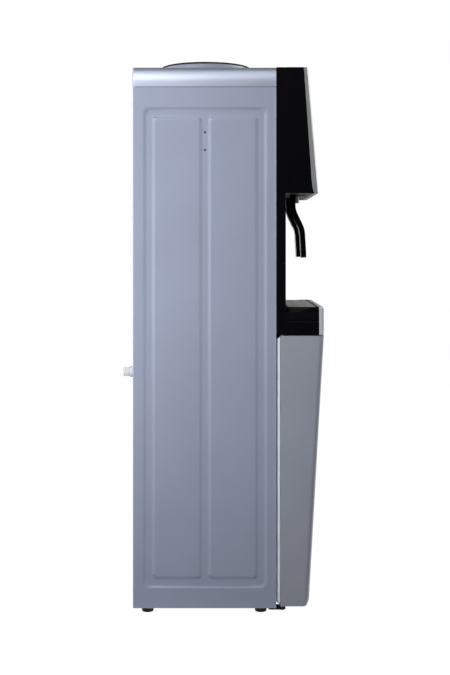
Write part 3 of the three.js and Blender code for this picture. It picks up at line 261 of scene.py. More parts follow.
GLOSS_BLACK = polished_black("gloss_black")
WINDOW_BLACK = polished_black("window_black", 0.05)
SATIN_BLACK = grained("satin_black", (19, 19, 21), 0.42, specular_ior_level=0.35)
LEVER_BLACK = grained("lever_black", (9, 9, 10), 0.3, specular_ior_level=0.18)
UNDERSIDE_BLACK = grained("underside_black", (30, 27, 26), 0.5, specular_ior_level=0.12)
WORKS_BLACK = grained("works_black", (36, 36, 39), 0.55, 0.0012)
WHITE_PLASTIC = grained("white_plastic", (232, 237, 245), 0.4, 0.0009, 0.00002)
LINER_WHITE = grained("liner_white", (212, 222, 240), 0.45, 0.0012, 0.00003)
DRAIN_WHITE = grained("drain_white", (216, 220, 222), 0.38, 0.0011, 0.00003)
PALE_RUBBER = grained("pale_rubber", (240, 249, 255), 0.6, 0.0008, 0.00003)
BLACK_RUBBER = grained("black_rubber", (30, 30, 32), 0.8, 0.0014, 0.00012)
SILICONE = grained("pale_silicone", (214, 196, 199), 0.35, 0.0014, 0.00002, subsurface_weight=0.25)
FOAM = grained("foam", (233, 231, 224), 0.9, 0.004, 0.0003)
print("blacks, whites and rubbers")

# %% [markdown]
# ## Metals and lenses
# Brushed steel gets its look from long thin scratches, which are noise stretched along one axis. Zinc-coated sheet
# shows large flat crystals. The small lenses and the rocker switches are clear coloured plastic over a ribbed inside.

# %% Metals and lenses
SCRATCH_SIZE, SCRATCH_STRETCH, CRYSTAL_SIZE, FINE_DEPTH = 0.0008, 0.02, 0.012, 0.00003
RIB_SIZE, RIB_DEPTH = 0.0011, 0.00008


def brushed(name, colour, roughness, along, metallic=1.0):
    metal = Finish(name, colour, roughness, metallic=metallic)
    lines = metal.noise(SCRATCH_SIZE, [1 if axis != along else SCRATCH_STRETCH for axis in "xyz"], 3)
    cloud = metal.noise(0.04, detail=3)
    metal.vary(lines * 0.6 + cloud * 0.4, 0.86, 1.1)
    metal.gloss(lines * 0.18 + cloud * 0.1 + (roughness - 0.12))
    metal.relief(lines, FINE_DEPTH)
    return metal.material


def zinc(name, colour):
    sheet = Finish(name, colour, 0.42, metallic=0.85)
    crystals = sheet.cells(CRYSTAL_SIZE, "Color")
    sheet.vary(crystals, 0.82, 1.12)
    sheet.gloss(crystals * 0.2 + 0.32)
    sheet.relief(sheet.noise(0.002), FINE_DEPTH)
    return sheet.material


def lens(name, colour):
    clear = Finish(name, colour, 0.12, coat_weight=0.6, coat_roughness=0.05)
    ribs = clear.cells(RIB_SIZE)
    clear.vary(ribs, 0.7, 1.3, 12)
    clear.gloss(ribs * 0.1 + 0.08)
    clear.relief(ribs, RIB_DEPTH)
    return clear.material


BRUSHED_STEEL = brushed("brushed_steel", (182, 182, 180), 0.36, "x")
GRILLE_STEEL = brushed("grille_steel", (166, 166, 156), 0.42, "x", 0.45)
ALUMINIUM = brushed("aluminium", (184, 187, 190), 0.46, "z")
ZINC = zinc("zinc_sheet", (158, 163, 170))
RED_LENS = lens("red_lens", (178, 38, 28))
GREEN_LENS = lens("green_lens", (42, 140, 62))
BLUE_LENS = lens("blue_lens", (44, 96, 180))
print("metals and lenses")

# %% [markdown]
# ## Dress the pieces that keep their shape
# The works inside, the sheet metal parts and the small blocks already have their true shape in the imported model, so
# they only need a finish. Each one is named here. What shows from outside is modelled anew further down.

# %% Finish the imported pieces
KEPT = {
    SILVER_PAINT: ["rear_panel"],
    ZINC: ["base_plate", "deck_plate", "tank_bracket", "power_supply"],
    WHITE_PLASTIC: ["hot_tap_plunger", "cold_tap_plunger", "cooling_module", "cabinet_shelf"],
    BRUSHED_STEEL: ["hot_lever_pin", "cold_lever_pin", "lower_hinge_pin", "upper_hinge_pin", "cold_tank", "hot_tank",
                    "feed_pipe"],
    LINER_WHITE: ["cabinet_liner"],
    FOAM: ["cold_foam", "hot_jacket"],
    ALUMINIUM: ["cold_block", "heat_sink"],
    WORKS_BLACK: ["fan_frame", "fan_rotor"],
    SILICONE: ["hot_hose", "cold_hose", "drain_hose"],
}

for material, names in KEPT.items():
    for node_name in names:
        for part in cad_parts[node_name].material_slots:
            part.material = material
print(sum(len(names) for names in KEPT.values()), "packed pieces dressed")

# %% [markdown]
# ## Floor, backdrop and lamps
# A white floor and a white world give the clean catalogue background. Camera and mirror rays see plain white, while
# the light that the world sheds on the cooler stays modest. Two lamps stand on the left: a long key lamp high up and
# towards the rear, which draws the bright line on the cover, and a small one beside the panel, whose light falls off
# towards the floor. Three wide fills light the front, the rear and the far side. A narrow rim lamp beyond the cooler
# draws the thin bright line down the black levers.

# %% Light the studio
FLOOR_GREY, FLOOR_GLOW, FLOOR_SHARE, WORLD_LIGHT = (105, 105, 105), 1.05, 0.93, 0.2
SEEN_PLAIN = ("Camera", "Glossy", "Transmission")
FILL_AIM = (0, 0, 0.6)
LAMPS = {
    "key": ((-1.75, 0.85, 1.52), (-0.15, 0.12, 0.97), (1.5, 0.3), 7.8),
    "side": ((-0.85, 0.52, 0.62), (-0.155, 0.06, 0.6), (0.35, 0.35), 6.6),
    "front_fill": ((1.0, -2.8, 1.6), FILL_AIM, (1.6, 1.6), 42),
    "rear_fill": ((0.8, 2.9, 1.6), FILL_AIM, (1.6, 1.6), 30),
    "far_fill": ((2.9, -0.5, 1.6), FILL_AIM, (1.6, 1.6), 30),
    "rim": ((3.0, 0.3, 0.75), (0, -0.1, 0.7), (0.4, 0.8), 3),
}
MIRRORED = ("key", "front_fill", "rim")


def studio_sheet(name, finish, size, place=(0, 0, 0), turn=(0, 0, 0)):
    """A flat square that belongs to the studio."""
    bpy.ops.object.select_all(action="DESELECT")
    bpy.ops.mesh.primitive_plane_add(size=size, location=place, rotation=[math.radians(angle) for angle in turn])
    piece = bpy.context.object
    piece.name = name
    piece.data.materials.append(finish.material)
    return piece


floor_white = Finish("floor_white", FLOOR_GREY, 0.7)
floor_white.tint(floor_white.seen_by("Camera"), FLOOR_GREY, WHITE)
glow = floor_white.add("ShaderNodeEmission", {}, {"Color": rgb(WHITE), "Strength": FLOOR_GLOW})
mix = floor_white.add("ShaderNodeMixShader", {}, {
    0: floor_white.seen_by(*SEEN_PLAIN) * FLOOR_SHARE,
    1: floor_white.shader.outputs["BSDF"],
    2: glow.outputs["Emission"],
})
floor_white.feed(floor_white.tree.nodes["Material Output"], {"Surface": mix.outputs["Shader"]})
floor = studio_sheet("floor", floor_white, 24)

world = bpy.data.worlds.new("studio")
bpy.context.scene.world = world
world.use_nodes = True
sky = Nodes(world.node_tree)
strength = sky.seen_by(*SEEN_PLAIN) * (1 - WORLD_LIGHT) + WORLD_LIGHT
sky.feed(sky.tree.nodes["Background"], {"Color": rgb(WHITE), "Strength": strength})

for name, (place, aim, size, watts) in LAMPS.items():
    light = bpy.data.lights.new(name, "AREA")
    light.shape = "RECTANGLE"
    light.size, light.size_y = size
    light.energy = watts
    lamp = bpy.data.objects.new(name, light)
    bpy.context.scene.collection.objects.link(lamp)
    lamp.location = place
    lamp.rotation_euler = (Vector(aim) - Vector(place)).to_track_quat("-Z", "Y").to_euler()
    lamp.visible_camera = False
    lamp.visible_glossy = name in MIRRORED
print("lamps:", *LAMPS)

# %% [markdown]
# ## Cards
# A photographer hangs cloths round the set so that polished black stays black and silver edges stay crisp on white.
# Four black cards do that here: one behind the camera, one opposite it, one low beyond the cooler's front and one on
# the floor at the left. The grey one overhead lets the top mirror a soft light. Only mirror rays see the cards, so
# they take no light from the cooler and cast no shadow.

# %% Hang the cards
CARD_SIZE = 6
card_black = Finish("card_black", (26, 26, 29), 1.0, specular_ior_level=0.0)
card_grey = Finish("card_grey", (140, 142, 148), 1.0, specular_ior_level=0.0)
CARDS = {
    "side_card": (card_black, (-4.2, 0, -1.0), (0, 90, 0)),
    "far_card": (card_black, (4.2, 0, -0.8), (0, 90, 0)),
    "front_card": (card_black, (0, -3.8, -1.3), (90, 0, 0)),
    "top_card": (card_grey, (0, 0, 3.4), (0, 0, 0)),
    "floor_card": (card_black, (-3.17, 0, 0.002), (0, 0, 0)),
}
for name, (finish, place, turn) in CARDS.items():
    card = studio_sheet(name, finish, CARD_SIZE, place, turn)
    card.visible_camera = card.visible_diffuse = card.visible_transmission = card.visible_shadow = False
print("cards:", *CARDS)

# %% [markdown]
# ## Modelling by hand, in code
# Everything is modelled with the operators that the menus call. A piece starts as a block or a disc at its size and
# place. Faces and edges are picked by where they lie and which way they face, and then extruded, bevelled or
# resized. Everything is deselected before a new piece starts, so that an operator never reaches another piece.

# %% Helpers for picking
# Points nearer than NEAR lie at one place, and a test for an edge's place asks for CLOSE.
NEAR, TINY, SHORT_EDGE, CLOSE = 0.00001, 0.000001, 0.00004, 0.001


def rest():
    """Leave edit mode and deselect everything."""
    if bpy.context.mode != "OBJECT":
        bpy.ops.object.mode_set(mode="OBJECT")
    bpy.ops.object.select_all(action="DESELECT")


def take(piece):
    """Make one piece the only selected and the active one."""
    rest()
    piece.select_set(True)
    bpy.context.view_layer.objects.active = piece


def pick(piece, test, kind="FACE", bend=0):
    """In edit mode, select the faces or edges whose middle and direction pass a test, and edges that bend enough."""
    take(piece)
    bpy.ops.object.mode_set(mode="EDIT")
    bpy.ops.mesh.select_mode(type=kind)
    bpy.ops.mesh.select_all(action="DESELECT")
    shape = bmesh.from_edit_mesh(piece.data)
    for item in shape.faces if kind == "FACE" else shape.edges:
        if kind == "FACE":
            middle, way = item.calc_center_median(), item.normal
        else:
            a, b = (corner.co for corner in item.verts)
            middle, way = (a + b) / 2, (b - a).normalized()
        bent = kind == "FACE" or item.calc_face_angle(0) >= math.radians(bend)
        item.select_set(bool(bent and test(middle, way)))
    shape.select_flush_mode()
    bmesh.update_edit_mesh(piece.data)


def pick_all(piece):
    """In edit mode, select the whole piece."""
    pick(piece, lambda middle, way: True)
    bpy.ops.mesh.select_all(action="SELECT")


def pick_end(piece, way):
    """In edit mode, select the flat end of a piece that faces a way."""
    way = Vector(way)
    reach = max(way.dot(corner.co) for corner in piece.data.vertices)
    pick(piece, lambda middle, normal: normal.dot(way) > 0.9 and way.dot(middle) > reach - NEAR)


def along_x(middle, way):
    return abs(way.x) > 0.9


def along_y(middle, way):
    return abs(way.y) > 0.9


def upright(middle, way):
    return abs(way.z) > 0.9


def rung(height, low=-1, high=1):
    """A test for edges that run across the cooler at a height, between two places from front to rear."""
    return lambda middle, way: along_x(middle, way) and abs(middle.z - height) < NEAR and low < middle.y < high


print("a place holds to", NEAR * 1000, "mm")

# %% [markdown]
# The shaping steps are the ones that a modeller repeats for every piece: start a form, cut it, join it, round its
# edges, shade it and give it a finish. They are written once here, so that each piece below is a short recipe.

# %% Helpers for shaping
# A cutter reaches PAST what it cuts, most mouldings share one WALL, and fitted pieces stand a GAP apart.
PAST, WALL, EDGE, FINE_EDGE, GAP = 0.01, 0.0025, 0.0005, 0.0004, 0.0003
TOWARDS_FRONT, TOWARDS_REAR = (90, 0, 0), (-90, 0, 0)


def settle(name):
    """Name the new piece and put its place, turn and size into its mesh."""
    piece = bpy.context.object
    piece.name = piece.data.name = name
    bpy.ops.object.transform_apply(location=True, rotation=True, scale=True)
    return piece


def block(name, low, high):
    """A block between two corners."""
    rest()
    low, high = Vector(low), Vector(high)
    bpy.ops.mesh.primitive_cube_add(size=1, location=(low + high) / 2, scale=high - low)
    return settle(name)


def within(low, high, by, **other):
    """The corners of a box whose sides lie this far inside another box, or another distance where one is given."""
    far = dict.fromkeys(("left", "front", "below", "right", "rear", "above"), by) | other
    return ([place + far[side] for place, side in zip(low, ("left", "front", "below"))],
            [place - far[side] for place, side in zip(high, ("right", "rear", "above"))])


def drum(name, radius, start, end, sides=48):
    """A round bar between two points."""
    rest()
    start, end = Vector(start), Vector(end)
    turn = (end - start).to_track_quat("Z", "Y").to_euler()
    bpy.ops.mesh.primitive_cylinder_add(vertices=sides, radius=radius, depth=(end - start).length,
                                        location=(start + end) / 2, rotation=turn)
    return settle(name)


def middle_of(node):
    """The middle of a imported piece's box."""
    return [(a + b) / 2 for a, b in zip(*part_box(node))]


def pull(move, size=(1, 1, 1), centre=(0, 0, 0)):
    """In edit mode, extrude the selected face, move it, and resize it about a point."""
    bpy.ops.mesh.extrude_region_move(TRANSFORM_OT_translate={"value": move})
    bpy.ops.transform.resize(value=size, center_override=centre)


def shift(piece, test, move):
    """Move the edges that pass a test."""
    pick(piece, test, "EDGE")
    bpy.ops.transform.translate(value=move)
    rest()


def slice_at(piece, *places, way=(0, 0, 1)):
    """Cut new loops of edges round a piece at these places along a way."""
    pick_all(piece)
    for place in places:
        bpy.ops.mesh.select_all(action="SELECT")
        bpy.ops.mesh.bisect(plane_co=Vector(way) * place, plane_no=way)
    rest()


def round_edges(piece, test, radius, segments=6):
    """Bevel the edges that pass a test to a radius."""
    pick(piece, test, "EDGE", 8)
    bpy.ops.mesh.bevel(offset=radius, segments=segments, affect="EDGES")
    rest()


def merge(piece, near, outwards=False):
    """Merge points that lie nearer than this, and turn every face outwards if asked."""
    pick_all(piece)
    bpy.ops.mesh.remove_doubles(threshold=near)
    if outwards:
        bpy.ops.mesh.normals_make_consistent(inside=False)
    rest()


def modify(piece, kind, **settings):
    """Add a modifier, set it and apply it."""
    take(piece)
    modifier = piece.modifiers.new(kind.lower(), kind)
    for key, value in settings.items():
        setattr(modifier, key, value)
    bpy.ops.object.modifier_apply(modifier=modifier.name)


def carve(piece, *cutters, operation="DIFFERENCE"):
    """Cut solids out of a piece, one after the other, and remove them."""
    for cutter in cutters:
        modify(piece, "BOOLEAN", operation=operation, solver="EXACT", object=cutter)
        bpy.data.meshes.remove(cutter.data)
        merge(piece, NEAR)
    return piece


def fuse(piece, *others):
    """Join solids to a piece."""
    return carve(piece, *others, operation="UNION")


def bore(piece, radius, start, end, sides=24):
    """Drill a round hole between two points."""
    carve(piece, drum("bore", radius, start, end, sides))


def join(pieces):
    """Make one piece of several."""
    rest()
    for piece in pieces:
        piece.select_set(True)
    bpy.context.view_layer.objects.active = pieces[0]
    bpy.ops.object.join()
    return pieces[0]


def shade(piece, angle):
    """Shade a piece smooth where it bends less than an angle."""
    take(piece)
    bpy.ops.object.shade_smooth_by_angle(angle=math.radians(angle))
    return piece


def smooth(piece, angle=35):
    """Shade a piece smooth, and keep its large faces flat."""
    modify(shade(piece, angle), "WEIGHTED_NORMAL", keep_sharp=True)
    return piece


def soften(piece, width, segments=2, angle=40):
    """Round all edges sharper than an angle, and shade the rest smooth."""
    merge(piece, SHORT_EDGE)
    limit = math.radians(angle)
    modify(piece, "BEVEL", width=width, segments=segments, limit_method="ANGLE", angle_limit=limit)
    return smooth(piece)


def turned(name, centre, line, sides=64, turn=(0, 0, 0)):
    """A disc pulled through a line of radii and heights over its centre, then turned into place."""
    rest()
    radius, height = line[0]
    bpy.ops.mesh.primitive_circle_add(vertices=sides, radius=radius, fill_type="NGON", location=(0, 0, height))
    piece = settle(name)
    pick(piece, lambda middle, normal: True)
    for wider, higher in line[1:]:
        factor = wider / radius
        pull((0, 0, higher - height), (factor, factor, 1), (0, 0, higher))
        radius, height = wider, higher
    merge(piece, TINY, outwards=True)
    take(piece)
    piece.rotation_euler = [math.radians(angle) for angle in turn]
    piece.location = centre
    return settle(name)


def copy_of(piece, name, move=(0, 0, 0), flip=False):
    """A copy with its own mesh, moved, or mirrored across the middle of the cooler."""
    twin = bpy.data.objects.new(name, piece.data.copy())
    bpy.context.scene.collection.objects.link(twin)
    take(twin)
    twin.location = move
    if flip:
        twin.scale.x = -1
    settle(name)
    if flip:
        merge(twin, TINY, outwards=True)
    return twin


def fit_out(piece, body, finish, slot, *nodes):
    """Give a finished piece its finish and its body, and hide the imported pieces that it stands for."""
    piece.data.materials.clear()
    piece.data.materials.append(finish)
    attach(piece, body)
    if nodes:
        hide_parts(*nodes)
    print(piece.name, len(piece.data.polygons), "faces on", body)


def second_finish(piece, finish, test):
    """Give the faces that pass a test another finish than the rest of the piece."""
    piece.data.materials.append(finish)
    piece.active_material_index = len(piece.data.materials) - 1
    pick(piece, test)
    bpy.ops.object.material_slot_assign()
    rest()


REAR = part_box("side_panel_left")[1].y
print("the rear edge lies at", round(REAR, 4))

# %% [markdown]
# ## Side panels
# Each side is one folded sheet of painted steel. A press has pushed a channel into it, which leaves a frame and two
# raised fields. The channel is cut with a tool shaped like the press: a block with sloping flanks, from which two
# smaller blocks are taken. A flat hem runs up the front edge. The left side also has two small holes in its middle
# rib, where a cup holder may hang.

# %% Press the channel into a side panel
SHEET, PRESS, SLOPE = 0.0026, 0.0016, 0.0045
CHANNEL_DEPTHS, CHANNEL_HEIGHTS, CHANNEL_CORNER, CHANNEL_OUT = (0.019, 0.242), (0.051, 0.919), 0.011, 0.0005
FIELD_DEPTHS, FIELD_HEIGHTS = ((0.0395, 0.12025), (0.14075, 0.2215)), (0.0715, 0.8985)
FIELD_CORNER, FIELD_PAST = 0.007, 0.001
HEM_WIDE, HEM_HIGH, HEM_SLOPE = 0.0042, 0.0006, 0.0012
HOLDER_PLACE, HOLDER_HEIGHTS, HOLDER_RADIUS = REAR - 0.1305, (0.874, 0.842), 0.0018
left_low, left_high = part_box("side_panel_left")
OUTSIDE = left_low.x


def press_form(name, depths, heights, corner, grow, near, far):
    """A rounded block with sloping flanks, whose measures hold where it passes the panel's outside."""
    form = block(name, (OUTSIDE + near, REAR - depths[1], heights[0]), (OUTSIDE + far, REAR - depths[0], heights[1]))
    round_edges(form, along_x, corner, 10)
    wide, tall = depths[1] - depths[0], heights[1] - heights[0]
    middle = (0, REAR - sum(depths) / 2, sum(heights) / 2)
    for way, reach in ((-1, near), (1, far)):
        extra = 2 * grow * reach / PRESS
        pick_end(form, (way, 0, 0))
        bpy.ops.transform.resize(value=(1, 1 + extra / wide, 1 + extra / tall), center_override=middle)
    rest()
    return form


channel = press_form("channel", CHANNEL_DEPTHS, CHANNEL_HEIGHTS, CHANNEL_CORNER, -SLOPE, -CHANNEL_OUT, PRESS)
for depths in FIELD_DEPTHS:
    carve(channel, press_form("field", depths, FIELD_HEIGHTS, FIELD_CORNER, SLOPE, -FIELD_PAST, PRESS + FIELD_PAST))

hem_line = left_low.y + HEM_WIDE - HEM_SLOPE
left_panel = block("left_panel", left_low, left_high)
carve(left_panel, block("inside", *within(left_low, left_high, SHEET, right=-PAST, below=-PAST, above=-PAST)))
slice_at(left_panel, hem_line, left_low.y + HEM_WIDE, way=(0, 1, 0))
shift(left_panel, lambda middle, way: upright(middle, way) and middle.x < left_low.x + NEAR
      and middle.y < hem_line + NEAR, (-HEM_HIGH, 0, 0))
carve(left_panel, channel)
right_panel = copy_of(left_panel, "right_panel", flip=True)
for height in HOLDER_HEIGHTS:
    bore(left_panel, HOLDER_RADIUS, (OUTSIDE - PAST, HOLDER_PLACE, height), (OUTSIDE + PAST, HOLDER_PLACE, height))
print("pressed", len(left_panel.data.polygons), "faces")

# %% [markdown]
# The bends of the press are wide and soft, so they get a large round first, because sheet metal never has a sharp
# bend. The corner at the rear gets a round of its own, and the cut edges of the sheet only lose their burr.

# %% Round the bends
BEND, CORNER_BEND, BURR = 0.0021, 0.0024, 0.00025
BORDER_DEPTH, BORDER_HEIGHT, ROUND_HOLES, SKIN = 0.008, 0.02, 0.003, 0.0001


def on_press(middle, way):
    """Edges that follow the pressed channel, away from the sheet's borders and the holes."""
    between = (left_low.y + BORDER_DEPTH < middle.y < left_high.y - BORDER_DEPTH
               and left_low.z + BORDER_HEIGHT < middle.z < left_high.z - BORDER_HEIGHT)
    outer = abs(OUTSIDE) - PRESS - SKIN < abs(middle.x) and abs(way.x) < 0.15
    return between and outer and abs(middle.y - HOLDER_PLACE) > ROUND_HOLES


def at_rear_corner(middle, way):
    return upright(middle, way) and abs(middle.x) > abs(OUTSIDE) - SKIN and middle.y > left_high.y - CLOSE


for panel, node_name in ((left_panel, "side_panel_left"), (right_panel, "side_panel_right")):
    merge(panel, SKIN)
    round_edges(panel, on_press, BEND, 5)
    round_edges(panel, at_rear_corner, CORNER_BEND, 6)
    fit_out(soften(panel, BURR, angle=50), "cabinet", SILVER_PAINT, "silver_paint", node_name)

# %% [markdown]
# ## Top cover and collar
# The cover is a thin moulding with softly crowned edges. Its outline is pulled upwards in small steps, each one a
# little narrower than the last, so that the crown follows a quarter of an ellipse. It meets the black column flush,
# so only the sides and the rear draw in. A round collar stands on it and frames the bottle seat.

# %% Mould the cover
CROWN_HIGH, CROWN_IN, REAR_IN, CROWN_STEPS = 0.026, 0.007, 0.0014, 12
SHADOW_GAP, GAP_HEIGHT, LIP_OVERLAP, COVER_CORNER, COVER_EDGE = 0.0012, 0.0013, 0.001, 0.005, 0.0007
COLLAR, COLLAR_INSIDE, COLLAR_SIDES, ABOVE_COVER = 0.086, 0.078, 128, 0.0002
cover_low, cover_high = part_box("top_cover")
SEAT_Y = middle_of("bottle_seat")[1]
COVER_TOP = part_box("front_panel")[1].z


def rear_corner(middle, way):
    return upright(middle, way) and middle.y > 0


def cover_form(name, inset):
    """The cover's outside, or the hollow inside it."""
    low = Vector((cover_low.x + inset, cover_low.y + inset, cover_low.z + GAP_HEIGHT))
    high = Vector((cover_high.x - inset, cover_high.y - inset, COVER_TOP - CROWN_HIGH))
    form = block(name, low, high)
    round_edges(form, rear_corner, COVER_CORNER - inset, 10)
    wide, deep = high.x - low.x, high.y - low.y
    pick_end(form, (0, 0, 1))
    before = 0
    for step in range(1, CROWN_STEPS + 1):
        angle = math.radians(90 * step / CROWN_STEPS)
        now = 1 - math.cos(angle)
        rise = (CROWN_HIGH - inset) * (math.sin(angle) - math.sin(angle - math.radians(90 / CROWN_STEPS)))
        size = ((wide - 2 * CROWN_IN * now) / (wide - 2 * CROWN_IN * before),
                (deep - REAR_IN * now) / (deep - REAR_IN * before), 1)
        pull((0, 0, rise), size, (0, low.y, 0))
        before = now
    rest()
    return form


cover = cover_form("cover", 0)
lip = block("lip", (cover_low.x + SHADOW_GAP, cover_low.y + SHADOW_GAP, cover_low.z),
            (cover_high.x - SHADOW_GAP, cover_high.y - SHADOW_GAP, cover_low.z + GAP_HEIGHT + LIP_OVERLAP))
round_edges(lip, rear_corner, COVER_CORNER - SHADOW_GAP, 10)
fuse(cover, lip)
hollow = cover_form("hollow", WALL + SHADOW_GAP)
pick_end(hollow, (0, 0, -1))
pull((0, 0, -0.02))
rest()
carve(cover, hollow)
COLLAR_LINE = [(COLLAR, COVER_TOP - 0.001), (COLLAR, cover_high.z - 0.003), (COLLAR - 0.0008, cover_high.z - 0.0006),
               (COLLAR - 0.0030, cover_high.z + 0.0005)]
fuse(cover, turned("collar", (0, SEAT_Y, 0), COLLAR_LINE, COLLAR_SIDES))
bore(cover, COLLAR_INSIDE, (0, SEAT_Y, 0.9), (0, SEAT_Y, 1.1), COLLAR_SIDES)
fit_out(soften(cover, COVER_EDGE), "cabinet", COVER_SILVER, "silver_moulding", "top_cover")
second_finish(cover, COLLAR_SILVER, lambda middle, way: middle.z > COVER_TOP + ABOVE_COVER)

# %% [markdown]
# ## Bottle seat and probe
# The seat is a black funnel with a rounded lip that lies on the collar. It is turned like a bowl on a lathe, up the
# outside and down the inside. The probe in its neck opens the bottle's cap, so it has a blunt spike with two windows.

# %% Turn the seat and its probe
SEAT_LINE = [(0.0338, 0.940), (0.0382, 0.9412), (0.0385, 0.9565), (0.0765, 0.9895), (0.0776, 0.9925),
             (0.0777, 1.0080), (0.0790, 1.0102), (0.0848, 1.0104), (0.0856, 1.0112), (0.0848, 1.0121),
             (0.0775, 1.0121), (0.0758, 1.0113), (0.0750, 1.0095), (0.0750, 0.9930), (0.0742, 0.9912),
             (0.0370, 0.9590), (0.0358, 0.9572), (0.0358, 0.9425), (0.0338, 0.9425)]
NECK_HOLE, PROBE_DISC, PROBE_RADIUS, PROBE_BORE, PROBE_BORE_TOP = 0.031, 0.0355, 0.012, 0.0095, 0.9905
DRIP_HOLES, DRIP_CIRCLE, DRIP_RADIUS, BELOW_SEAT = 6, 0.023, 0.005, 0.93
seat = turned("seat", (0, SEAT_Y, 0), SEAT_LINE, 96)
bore(seat, NECK_HOLE, (0, SEAT_Y, 0.9), (0, SEAT_Y, 0.95), 64)
fit_out(soften(seat, EDGE), "seat", SATIN_BLACK, "satin_black", "bottle_seat")

probe_low, probe_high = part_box("bottle_probe")
PROBE_LINE = [(PROBE_DISC, probe_low.z), (PROBE_DISC, probe_low.z + 0.0025), (0.0150, probe_low.z + 0.0025),
              (0.0128, probe_low.z + 0.0034), (PROBE_RADIUS, probe_low.z + 0.0060), (0.0118, probe_high.z - 0.0075),
              (0.0108, probe_high.z - 0.0036), (0.0082, probe_high.z - 0.0012), (0.0045, probe_high.z - 0.0003),
              (0.0004, probe_high.z)]
probe = turned("probe", (0, SEAT_Y, 0), PROBE_LINE)
bore(probe, PROBE_BORE, (0, SEAT_Y, BELOW_SEAT), (0, SEAT_Y, PROBE_BORE_TOP), 40)
carve(probe, block("window", (-0.02, SEAT_Y - 0.003, 0.978), (0.02, SEAT_Y + 0.003, 0.990)))
for step in range(DRIP_HOLES):
    angle = math.radians(360 / DRIP_HOLES * step)
    x, y = DRIP_CIRCLE * math.cos(angle), SEAT_Y - DRIP_CIRCLE * math.sin(angle)
    bore(probe, DRIP_RADIUS, (x, y, BELOW_SEAT), (x, y, probe_low.z + 0.004))
fit_out(soften(probe, EDGE), "seat", WHITE_PLASTIC, "white_plastic", "bottle_probe")

# %% [markdown]
# ## Column
# The front of the cooler is a polished black column, a hollow moulding with a hole for each tap and one for the pin
# that the door turns on. A block is hollowed from behind, so that its wall is even all round.

# %% Mould the column
TAP_X = middle_of("cold_tap_body")[0]
TAP_Z, TAP_HOLE, PIN_X, PIN_Y, PIN_HOLE = 0.776, 0.0073, -0.145, REAR - 0.2702, 0.0028
column_low, column_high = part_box("front_panel")


def hinge_bore(piece, low, high):
    """Drill the hole for the door's pin between two heights."""
    bore(piece, PIN_HOLE, (PIN_X, PIN_Y, low), (PIN_X, PIN_Y, high))


column = block("column", column_low, column_high)
carve(column, block("back", *within(column_low, column_high, WALL, rear=-PAST)))
soften(column, EDGE, angle=30)
for x in (-TAP_X, TAP_X):
    bore(column, TAP_HOLE, (x, column_low.y - PAST, TAP_Z), (x, column_high.y + PAST, TAP_Z), 32)
hinge_bore(column, 0.50, 0.52)
fit_out(smooth(column), "cabinet", GLOSS_BLACK, "gloss_black", "front_panel")

# %% [markdown]
# ## Head
# The head hangs over the column and leans back a little towards the top. It starts as a block with loops of edges at
# ten levels, and the front edge of each level is pushed back to the rear of the silver strip, which bows. Its side
# walls have a shallow recess with an arched top, as such mouldings do where the wall would look like a slab, and its
# underside has two mouths that the levers pass through.

# %% Mould the head shell
HEAD_TAPER, STRIP_GAP = 0.019, 0.0003
STRIP_REAR = [(0, 0.0082), (0.04, 0.0100), (0.11, 0.0104), (0.7, 0.0085), (0.93, 0.0078), (1, 0.0072)]
LEVEL_SHARES = (0.02, 0.05, 0.11, 0.22, 0.36, 0.5, 0.64, 0.78, 0.9, 0.96)
MOUTH_HALF, MOUTH_FRONT, MOUTH_REAR, UNDERSIDE = 0.019, 0.0317, 0.0047, 0.004
RECESS_DEEP, RECESS_LOW, RECESS_HIGH = 0.0006, 0.0075, 0.045
RECESS_FRONT, RECESS_REAR, RECESS_ARCH = 0.046, 0.006, 0.018
shell_low, shell_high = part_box("head_shell")
HEAD_TALL = shell_high.z - shell_low.z
HEAD_LEAN = HEAD_TAPER / HEAD_TALL
HEAD_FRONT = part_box("head_fascia")[0].y
LEVELS = [shell_low.z + share * HEAD_TALL for share in LEVEL_SHARES]


def strip_rear(height):
    """How far the silver strip's rear edge lies behind the head's front at a height."""
    share = (height - shell_low.z) / HEAD_TALL
    for (low, thin), (high, thick) in zip(STRIP_REAR, STRIP_REAR[1:]):
        if share <= high:
            return thin + (thick - thin) * (share - low) / (high - low)
    return STRIP_REAR[-1][1]


def head_form(name, inset, front_inset, rear):
    """The leaning form of the head, whose front follows the rear of the silver strip."""
    form = block(name, (shell_low.x + inset, HEAD_FRONT, shell_low.z + inset),
                 (shell_high.x - inset, rear, shell_high.z - inset))
    slice_at(form, *LEVELS)
    for height in (shell_low.z + inset, *LEVELS, shell_high.z - inset):
        back = HEAD_LEAN * (height - shell_low.z) + front_inset(height)
        shift(form, rung(height, high=rear - 0.01), (0, back, 0))
    return form


def notch(name, outer, deep, low, high):
    """A block that cuts this deep into a side wall, between two places given in depth and height."""
    sides = sorted((outer - math.copysign(deep, outer), outer + math.copysign(PAST, outer)))
    return block(name, (sides[0], *low), (sides[1], *high))


head = head_form("head", 0, lambda height: strip_rear(height) + STRIP_GAP, shell_high.y)
carve(head, head_form("inside", WALL, lambda height: -PAST, shell_high.y + PAST))
for name in ("hot", "cold"):
    x = middle_of(name + "_tap_lever")[0]
    carve(head, block("mouth", (x - MOUTH_HALF, shell_high.y - MOUTH_FRONT, shell_low.z - PAST),
                      (x + MOUTH_HALF, shell_high.y - MOUTH_REAR, shell_low.z + PAST)))
for outer in (-shell_high.x, shell_high.x):
    recess = notch("recess", outer, RECESS_DEEP, (shell_high.y - RECESS_FRONT, shell_low.z + RECESS_LOW),
                   (shell_high.y - RECESS_REAR, shell_low.z + RECESS_HIGH))
    round_edges(recess, lambda middle, way: along_x(middle, way) and middle.z > shell_low.z + 0.03, RECESS_ARCH, 10)
    carve(head, recess)
fit_out(soften(head, EDGE, angle=30), "cabinet", GLOSS_BLACK, "gloss_black", "head_shell")
